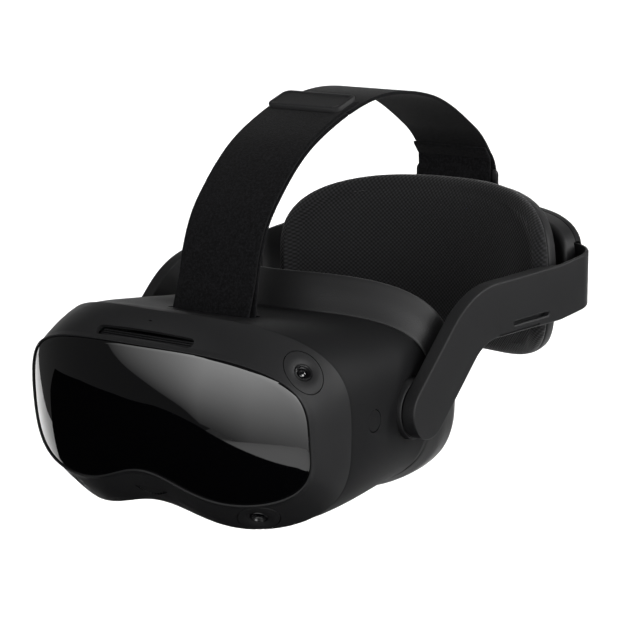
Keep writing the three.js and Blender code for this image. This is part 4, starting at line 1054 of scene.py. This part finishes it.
def arm_and_band(side, side_name):
    rows = []
    for centre, rise, half in arm_stations():
        y = centre.y
        thin = smooth_step(y, 97, 116)
        thickness = arm_thickness + (band_thickness - arm_thickness) * thin
        half = half + (band_half - arm_half) * smooth_step(y, 60, 116)
        lift = band_rise * max(0, min((y - arm_end) / (arm_rear - arm_end), 1))
        row = []
        for v, w in rounded_bar(half, thickness, 1.1, 0.7):
            p = centre + rise * v
            row.append((side * (arm_outer - w), p.y, p.z + lift))
        rows.append(np.array(row))
    for place_, out in band_plan():
        lift = band_rise * max(0, min((place_.y - arm_end) / (arm_rear - arm_end), 1))
        row = []
        for v, w in rounded_bar(band_half, band_thickness, 1.1, 0.7):
            p = place_ + out * (band_thickness / 2 - w)
            row.append((side * p.x, p.y, arm_z + lift + v))
        rows.append(np.array(row))
    return plug(f"arm_and_band_{side_name}", rows, charcoal, 35)


arm_rear = housing_y - housing_sweep * (housing_half - 3) ** 2 + 14
slot_length, slot_height, slot_y, slot_z = 37, 3.8, 84, 37.2
speaker_length, speaker_height, speaker_y, speaker_z = 34, 14, 82, 42.7


def flared(basis, length, height, steps):
    """A slot cutter whose mouth opens out: (extra width, height above the frame) steps."""
    rows = []
    for extra, level in steps:
        section = stadium(length + extra, height + extra)
        rows.append(np.array([basis @ Vector((u, v, level)) for u, v in section]))
    return plug("cutter", rows, None)


for side, side_name in ((1, "left"), (-1, "right")):
    arm = arm_and_band(side, side_name)
    slot_basis = side_basis(side, arm_outer, slot_y, slot_z)
    edge_basis = side_basis(side, arm_outer, 72, arm_z - arm_half + 1.0)
    pocket_basis = side_basis(-side, -94, speaker_y, speaker_z)
    cutters = [
        flared(slot_basis, slot_length - 1.6, slot_height - 1.6, [(0, -5), (0, -0.5), (1.6, -0.1), (2.6, 1)]),
        flared(edge_basis, 40, 0.7, [(0, -1.4), (0, -0.3), (0.9, 1)]),
        prism(pocket_basis, rounded_box(speaker_length + 8, speaker_height + 7, 4), -1.6, 3),
        prism(pocket_basis, rounded_box(speaker_length + 4, speaker_height + 3, 3), -5.1, 0),
    ]
    cut(arm, cutters, sharp=35)
    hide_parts(f"arm_{side_name}", f"band_{side_name}")
    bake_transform(arm)

    # Inside the arm a black perforated cover closes the speaker's pocket.
    cover_rows = []
    for margin, level in ((0.7, -1.25), (0.7, -0.35), (1.3, 0)):
        section = rounded_box(speaker_length + 8 - margin, speaker_height + 7 - margin, 4)
        cover_rows.append(np.array([pocket_basis @ Vector((u, v, level)) for u, v in section]))
    cover = plug(f"speaker_cover_{side_name}", cover_rows, satin_black, 40)
    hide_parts(f"arm_cover_{side_name}")
    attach(cover, "headband")

    # A strip of the same black gauze, its holes painted near black as painted shade, backs the outer slot.
    grille = plug(f"speaker_grille_{side_name}", [
        np.array([slot_basis @ Vector((u, v, h)) for u, v in stadium(slot_length + 1, slot_height + 1)])
        for h in (-3.5, -3.2)], bpy.data.materials["black_steel_gauze_woven_holes_painted_shade"], 40)
    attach(grille, "headband")

# ---------------------------------------------------------------- rear pad
# A crowned foam pad in an open knit mesh with a diamond ground. It is held by its edge in the charcoal
# frame behind it.
pad_half, pad_middle, pad_top, pad_bottom, pad_y, pad_sweep, pad_crown = 89.5, 45, 48, 44.5, 158, 0.0053, 8
pad_shape = (pad_half, pad_top, 3.3, pad_bottom, 3.4, 0, 1)


def pad_face(x, z=0):
    return pad_y - pad_sweep * x * x


def scaled(points, share, middle, depth):
    x, z = points[:, 0] * share, middle + (points[:, 2] - middle) * share
    return np.stack([x, depth(x, z) + 0 * x, z], axis=1)


pad_edge = ring(pad_shape, pad_face, pad_middle)


def knit_mesh():
    """Polyester spacer knit: diamond cells of thread over darker gaps. The real cells are about 0.8 mm
    apart; they are drawn 1.7 mm apart so that the knit shows."""
    material, output = new_material("polyester_spacer_knit")
    spot = put(material, "TexCoord").outputs["Object"]
    split = put(material, "SeparateXYZ", {"Vector": spot})
    waves = []
    for axis in ("X", "Z"):
        angle = put(material, "Math", {0: split.outputs[axis], 1: 2 * math.pi / 0.0024}, operation="MULTIPLY")
        waves.append(put(material, "Math", {0: angle.outputs["Value"]}, operation="SINE").outputs["Value"])
    cell = put(material, "Math", {0: waves[0], 1: waves[1]}, operation="MULTIPLY")
    height = put(material, "MapRange", {"Value": cell.outputs["Value"], "From Min": -0.6, "From Max": 0.9})
    fluff = put(material, "TexNoise", {"Vector": spot, "Scale": 1400.0, "Detail": 2.0})
    tone = put(material, "ValToRGB", {"Fac": height.outputs["Result"]})
    tone.color_ramp.elements[0].color = linear("#020202")
    tone.color_ramp.elements[1].color = linear("#272729")
    mixed = put(material, "Mix", {"Factor": 0.12, 6: tone.outputs["Color"], 7: fluff.outputs["Color"]},
                data_type="RGBA", blend_type="SOFT_LIGHT")
    relief = put(material, "Bump", {"Height": height.outputs["Result"], "Strength": 0.6, "Distance": 0.0004})
    body = put(material, "BsdfPrincipled", {
        "Base Color": mixed.outputs[2], "Normal": relief.outputs["Normal"], "Roughness": 0.8,
        "Sheen Weight": 0.2, "Sheen Roughness": 0.5, "Specular IOR Level": 0.2,
    })
    material.node_tree.links.new(body.outputs["BSDF"], output.inputs["Surface"])
    return material


def pad_rows(shrink):
    """The pad's form before it is inflated: a crowned face, a rolled edge and a flat back."""
    rows = []
    for share in np.linspace(0.02, 0.9, 16):
        rise = pad_crown * (1 - share**10)
        rows.append(scaled(pad_edge, share, pad_middle, lambda x, z: pad_face(x) - rise + shrink))
    rolled = ((5, -5), (2.6, -4.3), (0.6, -3.1), (-0.7, -1.6), (-1.5, 0.2), (-1.5, 1.6), (-0.7, 2.4))
    for inwards, back in rolled:
        rows.append(inset(pad_edge, inwards + shrink, back))
    rows.append(inset(pad_edge, 3, 4.2))
    for share in (0.9, 0.7, 0.35, 0.02):
        rows.append(scaled(pad_edge, share, pad_middle, lambda x, z: pad_face(x) + 5))
    for row in rows:
        row[:, 2] += 0.04 * np.maximum(row[:, 2] - pad_middle, 0)
    return rows


def inflated(piece, voxel, pressure, cap):
    """Cloth filled with air: a remeshed copy of the form is blown up for 20 frames, and its movement,
    evened over 9 mm and kept within a cap, is given to the form. It fades out towards the rim, where the
    cover is drawn tight over the frame."""
    remesh = piece.modifiers.new("remesh", "REMESH")
    remesh.mode, remesh.voxel_size = "VOXEL", voxel * 0.001
    cloth = bpy.data.objects.new("air_cloth", bpy.data.meshes.new_from_object(
        piece.evaluated_get(bpy.context.evaluated_depsgraph_get())))
    bpy.context.collection.objects.link(cloth)
    piece.modifiers.clear()
    start = np.array([v.co for v in cloth.data.vertices])
    air = cloth.modifiers.new("air", "CLOTH")
    air.settings.use_pressure = True
    air.settings.uniform_pressure_force = pressure
    air.settings.effector_weights.gravity = 0
    air.settings.quality = 5
    scene = bpy.context.scene
    for frame_number in range(1, 21):
        scene.frame_set(frame_number)
    moved = cloth.evaluated_get(bpy.context.evaluated_depsgraph_get())
    shift = np.array([v.co for v in moved.data.vertices]) - start
    bpy.data.objects.remove(cloth)
    scene.frame_set(1)
    length = np.linalg.norm(shift, axis=1)[:, None]
    shift *= np.minimum(1, cap * 0.001 / np.maximum(length, 1e-9))
    form = np.array([v.co for v in piece.data.vertices])
    middle, reach = (form.min(axis=0) + form.max(axis=0)) / 2, (form.max(axis=0) - form.min(axis=0)) / 2
    outward = np.sum((np.abs(form - middle) / reach)[:, (0, 2)] ** 3.3, axis=1)
    hold = np.clip((1 - outward) / 0.5, 0, 1)
    for i, point in enumerate(form):
        weight = np.exp(-np.sum((start - point) ** 2, axis=1) / (2 * 0.009**2))
        form[i] = point + hold[i] * (weight @ shift) / weight.sum()
    piece.data.vertices.foreach_set("co", form.ravel())
    tidy_normals(piece, 60)


knit = knit_mesh()
pad = plug("pad_cushion", pad_rows(0.2), knit, 60)
inflated(pad, 4, 4, 2.5)
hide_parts("rear_pad")
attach(pad, "rear_module")

# ---------------------------------------------------------------- pad frame and strap loop
# The frame is a shallow charcoal tray 13 mm deep, with a smooth rim and a rounded back edge. A notch in
# its top holds the black loop that the top strap folds round.
frame_depth, pad_depth = 13, 5
loop_half, loop_thickness, loop_bar = 27.5, 3, 6
loop_y, loop_top = pad_y + 6.5, pad_middle + pad_top + 9
loop_bottom = loop_top - 15
floor_y = pad_depth + 2 * gap
shares = (0.02, 0.35, 0.7, 0.9)
tray = [scaled(pad_edge, share, pad_middle, lambda x, z: pad_face(x) + floor_y) for share in shares]
tray += [inset(pad_edge, 0.8, floor_y), inset(pad_edge, 0.6, 3.1), inset(pad_edge, 0.3, 2.75),
         inset(pad_edge, -0.4, 2.5), inset(pad_edge, -1.2, 2.75), inset(pad_edge, -1.5, 3.4)]
for k in range(1, 9):
    tray.append(inset(pad_edge, -1.5 + 0.9 * k**2 / 64, 3.4 + 6.6 * k / 8))
for k in range(1, 7):
    angle = k * math.pi / 12
    tray.append(inset(pad_edge, -0.6 + 2.6 * (1 - math.cos(angle)), 10 + 3 * math.sin(angle)))
for share in reversed(shares):
    tray.append(scaled(pad_edge, share, pad_middle, lambda x, z: pad_face(x) + frame_depth))
pad_frame = plug("pad_tray", tray, charcoal)
notch = prism(Matrix.Translation((0, loop_y + 4.5, loop_bottom - gap)),
              rounded_box(2 * (loop_half + gap), 20, 1.5), 0, 40)
cut(pad_frame, [notch])
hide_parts("pad_frame")
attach(pad_frame, "rear_module")

upright = Matrix.Rotation(math.pi / 2, 4, "X")
back_plane = Matrix.Translation((0, loop_y, (loop_top + loop_bottom) / 2)) @ upright


def loop_rows(steps):
    rows = []
    for margin, level in steps:
        section = rounded_box(2 * loop_half - margin, loop_top - loop_bottom - margin, 3)
        rows.append(np.array([back_plane @ Vector((u, v, level)) for u, v in section]))
    return rows


loop_steps = [(1.2, -1.5), (0.35, -1.35), (0, -0.9), (0, 0.9), (0.35, 1.35), (1.2, 1.5)]
loop = plug("loop_plate", loop_rows(loop_steps), satin_black, 40)
slot_z0 = loop_top - loop_bar - 1.4
loop_slot = prism(Matrix.Translation((0, loop_y, slot_z0)) @ upright,
                  rounded_box(strap_width + 1, 2.8, 1), -4, 4)
cut(loop, [loop_slot], sharp=40)
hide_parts("strap_loop")
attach(loop, "rear_module")

# ---------------------------------------------------------------- rear housing and cover
# The rear module is two charcoal and graphite mouldings that meet at a fine split line. They hold the
# battery, the racks and the dial's pinion, and are notched each side for the bands.
housing_height, housing_middle, housing_depth, cover_sweep, split_depth = 58, 51, 30, 0.0047, 17
housing_shape = (housing_half, housing_height / 2, 4, housing_height / 2, 4, 0, 1)


def housing_front(x, z=0):
    return housing_y - housing_sweep * x * x


def housing_back(x, z=0):
    return housing_y + housing_depth - cover_sweep * x * x


def split(x):
    return housing_y + split_depth - (housing_sweep + cover_sweep) / 2 * x * x


def rounded_shell(name, depth, toward, edge_y, corner, material):
    """A shallow moulding: a curved face, a rounded corner and straight sides up to the split line."""
    edge_ring = ring(housing_shape, depth, housing_middle)
    rows = [scaled(inset(edge_ring, corner), share, housing_middle, depth) for share in (0.02, 0.4, 0.8)]
    for k in range(9):
        angle = k * math.pi / 16
        row = inset(edge_ring, corner * (1 - math.sin(angle)))
        row[:, 1] = depth(row[:, 0]) + toward * corner * (1 - math.cos(angle))
        rows.append(row)
    side_row = edge_ring.copy()
    side_row[:, 1] = edge_y(side_row[:, 0]) - toward * 0.3
    lip_row = inset(side_row, 0.25, toward * 0.3)
    rows += [side_row, lip_row]
    hollow = [inset(row, 0) for row in (inset(edge_ring, 2.2), inset(edge_ring, 2.2))]
    hollow[0][:, 1] = edge_y(hollow[0][:, 0])
    hollow[1][:, 1] = depth(hollow[1][:, 0]) + toward * (corner + 0.5)
    rows += hollow
    rows += [scaled(inset(edge_ring, corner), share, housing_middle, lambda x, z: depth(x) + toward * 2.2)
             for share in (0.98, 0.8, 0.4, 0.02)]
    return plug(name, rows, material)


housing = rounded_shell("housing_moulding", housing_front, 1, split, 4, charcoal)
cover = rounded_shell("cover_moulding", housing_back, -1, lambda x: split(x) + gap, 7, graphite)
drive_z = arm_z + band_rise
slot_y0 = housing_front(housing_half - 3) + 14


def band_notch(side):
    basis = Matrix.Translation((side * (housing_half - 2), slot_y0, drive_z))
    return prism(basis @ Matrix.Rotation(math.pi / 2, 4, "Y"), rounded_box(32, 8, 1.8), -7, 7)


release_hole = prism(Matrix.Translation((0, housing_y + 9, housing_middle - housing_height / 2 - 4)),
                     rounded_box(24.7, 9.7, 1.2), 0, 12)
cut(housing, [band_notch(1), band_notch(-1), release_hole])
shaft_basis = Matrix.Translation((0, housing_y + housing_depth, drive_z))
shaft_basis = shaft_basis @ Matrix.Rotation(-math.pi / 2, 4, "X")
cut(cover, [band_notch(1), band_notch(-1), prism(shaft_basis, oval(3.35, 3.35, 32), -12, 12)])
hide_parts("rear_housing")
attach(housing, "rear_module")
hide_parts("rear_cover")
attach(cover, "rear_module")

# ---------------------------------------------------------------- battery release
# A sprung key of black acetal under the rear module, with three grip ribs across its face.
release_box = [c * 1000 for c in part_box("battery_release")]
release_rows = []
release_y = (release_box[0].y + release_box[1].y) / 2
for margin, level in ((0, release_box[1].z), (0, release_box[0].z + 0.6), (1.2, release_box[0].z)):
    section = rounded_box(24 - margin, 9 - margin, 1.2)
    release_rows.append(np.array([(u, release_y + v, level) for u, v in section]))
release = plug("release_key", release_rows, satin_black, 40)
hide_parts("battery_release")
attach(release, "battery_release")
rib_pitch = 2.4
for k in (-1, 0, 1):
    rib_rows = []
    for margin, rise in ((0, 0.3), (0, -0.25), (0.4, -0.45)):
        section = stadium(18 - margin, 0.9 - margin)
        rib_y, level = release_y + rib_pitch * k, release_box[0].z + rise
        rib_rows.append(np.array([(u, rib_y + v, level) for u, v in section]))
    rib = plug(f"release_rib_{k + 2}", rib_rows, satin_black, 40)
    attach(rib, "battery_release")

# ---------------------------------------------------------------- size dial
# A charcoal knob with moulded finger ridges turns the pinion between the two racks.
knob_radius, knob_depth = 19, 9
knob_face = gap + knob_depth
dial_profile = [(2.9, -25, 0), (2.9, gap, 0), (17.2, gap, 0), (18.8, gap + 0.6, 0.3),
                (knob_radius, gap + 1.6, 1), (knob_radius, knob_face - 2.2, 1), (18.3, knob_face - 0.8, 1),
                (16.9, knob_face - 0.1, 0.3), (15.4, knob_face, 0), (13.5, knob_face - 0.7, 0),
                (3, knob_face - 1.4, 0)]
dial = plug("dial_knob", knurled_rows(shaft_basis, dial_profile, 24, 0.8), charcoal, 40)
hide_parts("size_dial")
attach(dial, "size_dial")


def gear_rows(basis, teeth, radius, low, high):
    """A small toothed wheel: trapezoid teeth between two levels of a frame."""
    section = []
    root, tip = radius - 1.2, radius + 0.8
    for t in range(teeth):
        for share, reach in ((-0.3, root), (-0.1, tip), (0.1, tip), (0.3, root)):
            angle = (t + share) * 2 * math.pi / teeth
            section.append((reach * math.sin(angle), reach * math.cos(angle)))
    return [np.array([basis @ Vector((u, v, h)) for u, v in section]) for h in (low, high)]


pinion_basis = Matrix.Translation((0, 0, drive_z)) @ Matrix.Rotation(math.pi / 2, 4, "X")
pinion = plug("size_pinion", gear_rows(pinion_basis, 12, 6, -176, -173), satin_black, 20)
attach(pinion, "size_dial")

# ---------------------------------------------------------------- top strap
# Two runs of charcoal felt-faced webbing, 49 mm wide. The front run is doubled through the visor's slot;
# the rear run starts under its end and is folded and sewn round the loop.
strap_thickness, strap_lap, anchor_turn = 2, 0.4, 3.5
layer = strap_thickness + strap_lap
loop_behind = loop_y + (loop_thickness + strap_thickness) / 2 + 0.5
strap_line = [(anchor_y + anchor_turn, anchor_z), (-50, 82), (-36, 107), (-4, 134), (50, 152.4), (103, 148.5),
              (145, 127.5), (162.3, 111), (loop_behind, loop_top), (loop_behind, loop_top - loop_bar)]


def felt_webbing():
    """Brushed polyester webbing: short matted fibres over the weave, real fibres drawn five times
    coarser, with a dull fuzz at glancing angles."""
    material, output = new_material("polyester_webbing_brushed")
    spot = put(material, "TexCoord").outputs["Object"]
    fibres = put(material, "TexNoise", {"Vector": spot, "Scale": 1500.0, "Detail": 2.0, "Roughness": 0.6})
    matted = put(material, "TexNoise", {"Vector": spot, "Scale": 700.0, "Detail": 2.0})
    mixed = put(material, "Math", {0: fibres.outputs["Fac"], 1: matted.outputs["Fac"]}, operation="MULTIPLY")
    tone = put(material, "ValToRGB", {"Fac": mixed.outputs["Value"]})
    tone.color_ramp.elements[0].position, tone.color_ramp.elements[1].position = 0.16, 0.38
    tone.color_ramp.elements[0].color = linear("#050506")
    tone.color_ramp.elements[1].color = linear("#161618")
    relief = put(material, "Bump", {"Height": fibres.outputs["Fac"], "Strength": 0.35, "Distance": 0.0005})
    body = put(material, "BsdfPrincipled", {
        "Base Color": tone.outputs["Color"], "Normal": relief.outputs["Normal"], "Roughness": 0.9,
        "Sheen Weight": 0.06, "Sheen Roughness": 0.5, "Specular IOR Level": 0.08,
    })
    material.node_tree.links.new(body.outputs["BSDF"], output.inputs["Surface"])
    return material


webbing = felt_webbing()


def spline(points, steps=40):
    """A smooth curve through points in Y and Z."""
    near = [Vector(p) for p in points]
    near = [2 * near[0] - near[1]] + near + [2 * near[-1] - near[-2]]
    curve = []
    for a, b, c, d in zip(near, near[1:], near[2:], near[3:]):
        for i in range(steps):
            t = i / steps
            curve.append(0.5 * (2 * b + (c - a) * t + (2 * a - 5 * b + 4 * c - d) * t * t
                                + (3 * b - a - 3 * c + d) * t**3))
    curve.append(near[-2])
    return np.array(curve)


def strap_curve():
    """The strap's middle line as evenly spaced points, with the directions that face outwards."""
    fine = spline(strap_line)
    reach = np.concatenate([[0], np.cumsum(np.linalg.norm(np.diff(fine, axis=0), axis=1))])
    wanted = np.linspace(0, reach[-1], 401)
    curve = np.stack([np.interp(wanted, reach, fine[:, k]) for k in (0, 1)], axis=1)
    run = np.gradient(curve, axis=0)
    run /= np.linalg.norm(run, axis=1)[:, None]
    return curve, np.stack([-run[:, 1], run[:, 0]], axis=1)


line, outwards = strap_curve()


def share_at(y):
    """How far along the strap it passes a depth Y."""
    rising = len(line) * 3 // 4
    return float(np.interp(y, line[10:rising, 0], np.linspace(0, 1, len(line))[10:rising]))


def lifted(low, high, lift, count):
    """Points beside the middle line between two shares of its length."""
    at = np.linspace(low, high, count) * (len(line) - 1)
    index = np.arange(len(line))
    found = [np.interp(at, index, column) for column in (*line.T, *outwards.T)]
    return [(y + lift * ny, z + lift * nz) for y, z, ny, nz in zip(*found)]


def turned_arc(centre, radius, start, end, count=16):
    angles = np.linspace(math.radians(start), math.radians(end), count)
    return [(centre[0] + radius * math.cos(a), centre[1] + radius * math.sin(a)) for a in angles]


def strap_run(name, path, width, thickness, material, spacing=1.2):
    """A flat strap along a path in Y and Z, its edges rounded and its ends closed."""
    path = np.array(path)
    reach = np.concatenate([[0], np.cumsum(np.linalg.norm(np.diff(path, axis=0), axis=1))])
    wanted = np.linspace(0, reach[-1], int(reach[-1] / spacing))
    path = np.stack([np.interp(wanted, reach, path[:, k]) for k in (0, 1)], axis=1)
    run = np.gradient(path, axis=0)
    run /= np.linalg.norm(run, axis=1)[:, None]
    rows = []
    for i, ((y, z), (ry, rz)) in enumerate(zip(path, run)):
        squeeze = 1 if 0 < i < len(path) - 1 else 0.6
        row = []
        for u, w in rounded_bar(width / 2, thickness, 0.8, 0.8, 4):
            off = (thickness / 2 - w) * squeeze
            row.append((u, y - rz * off, z + ry * off))
        rows.append(np.array(row))
    strip = plug(name, rows, material, 45)
    return strip, reach[-1]


tab_y, tab_length, tab_width, tab_thickness = 26, 19, 47, 2.4
split_share, front_end = share_at(tab_y - 2), share_at(tab_y + tab_length / 2 - 2)
front_path = lifted(front_end, 0.08, layer, 120)
front_path += turned_arc((anchor_y, anchor_z), anchor_turn, 180, 360)
front_path += lifted(0.02, split_share, 0, 120)
strap_front, front_reach = strap_run("strap_front_run", front_path, strap_width, strap_thickness, webbing)
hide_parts("strap_front")
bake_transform(strap_front)

bar_z, loop_turn = loop_top - loop_bar, (loop_thickness + strap_thickness) / 2 + 0.5
rear_path = lifted(split_share + 0.002, 0.985, 0, 160)
rear_path += turned_arc((loop_y, bar_z), loop_turn, 0, -180)
rear_path += [(loop_y - loop_turn, loop_top + 0.5)]
rear_path += lifted(0.95, 0.922, -layer, 10)
strap_rear, rear_reach = strap_run("strap_rear_run", rear_path, strap_width, strap_thickness, webbing)
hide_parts("strap_rear")
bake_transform(strap_rear)

# ---------------------------------------------------------------- strap stitching
# Two rows of black polyester thread close the fold over the loop, sewn through both layers.


def sewing_thread():
    """Black bonded polyester thread: a fine twist that catches a little light."""
    material, output = new_material("polyester_thread_bonded")
    spot = put(material, "TexCoord").outputs["Object"]
    twist = put(material, "TexWave", {"Vector": spot, "Scale": 700.0, "Distortion": 0.5},
                bands_direction="DIAGONAL")
    relief = put(material, "Bump", {"Height": twist.outputs["Fac"], "Strength": 0.4, "Distance": 0.0001})
    body = put(material, "BsdfPrincipled", {
        "Base Color": linear("#1f1f21"), "Normal": relief.outputs["Normal"], "Roughness": 0.6,
    })
    material.node_tree.links.new(body.outputs["BSDF"], output.inputs["Surface"])
    return material


def stitch_row(name, share, material):
    """Stitches 2.6 mm long and 0.35 mm thick across the strap, sunk half into the felt."""
    (y, z), = lifted(share, share, strap_thickness / 2, 1)
    points, faces = [], []
    for k in range(17):
        x = (k - 8) * 2.8
        base_index = len(points)
        for u, r in ((-1.3, 0.1), (-0.9, 0.22), (0.9, 0.22), (1.3, 0.1)):
            for i in range(6):
                a = i * math.pi / 3
                points.append((x + u, y + r * math.cos(a), z + r * math.sin(a)))
        for s in range(3):
            for i in range(6):
                j = (i + 1) % 6
                low, high = base_index + s * 6, base_index + s * 6 + 6
                faces.append((low + i, low + j, high + j, high + i))
        faces.append(tuple(base_index + i for i in range(6)))
        faces.append(tuple(base_index + 18 + i for i in range(6)))
    row = mesh_object(name, points, faces, material, 40)
    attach(row, "rear_module")


thread = sewing_thread()
stitch_row("stitches_upper", 0.928, thread)
stitch_row("stitches_lower", 0.942, thread)

# ---------------------------------------------------------------- strap tab
# A charcoal plate with rounded corners is welded on the end of the front run, to pull it by. A raised rim
# runs round its face.
tab_share = share_at(tab_y)
(tab_centre_y, tab_centre_z), = lifted(tab_share, tab_share, layer + strap_thickness / 2 + gap, 1)
low_at, high_at = line[int(tab_share * 400) - 4], line[int(tab_share * 400) + 4]
tab_slope = math.atan2(high_at[1] - low_at[1], high_at[0] - low_at[0])
tab_basis = Matrix.Translation((0, tab_centre_y, tab_centre_z)) @ Matrix.Rotation(tab_slope, 4, "X")
tab_rows = []
tab_steps = [(0, 0, 4), (0, tab_thickness - 0.7, 4), (0.35, tab_thickness - 0.15, 3.8),
             (0.9, tab_thickness, 3.5), (1.9, tab_thickness, 3.2), (2.5, tab_thickness - 0.5, 3),
             (4, tab_thickness - 0.55, 2.4)]
for margin, height, corner in tab_steps:
    section = rounded_box(tab_width - 2 * margin, tab_length - 2 * margin, corner)
    tab_rows.append(np.array([tab_basis @ Vector((u, v, height)) for u, v in section]))
tab = plug("strap_tab_plate", tab_rows, charcoal, 35)
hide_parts("strap_tab")
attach(tab, "headband")
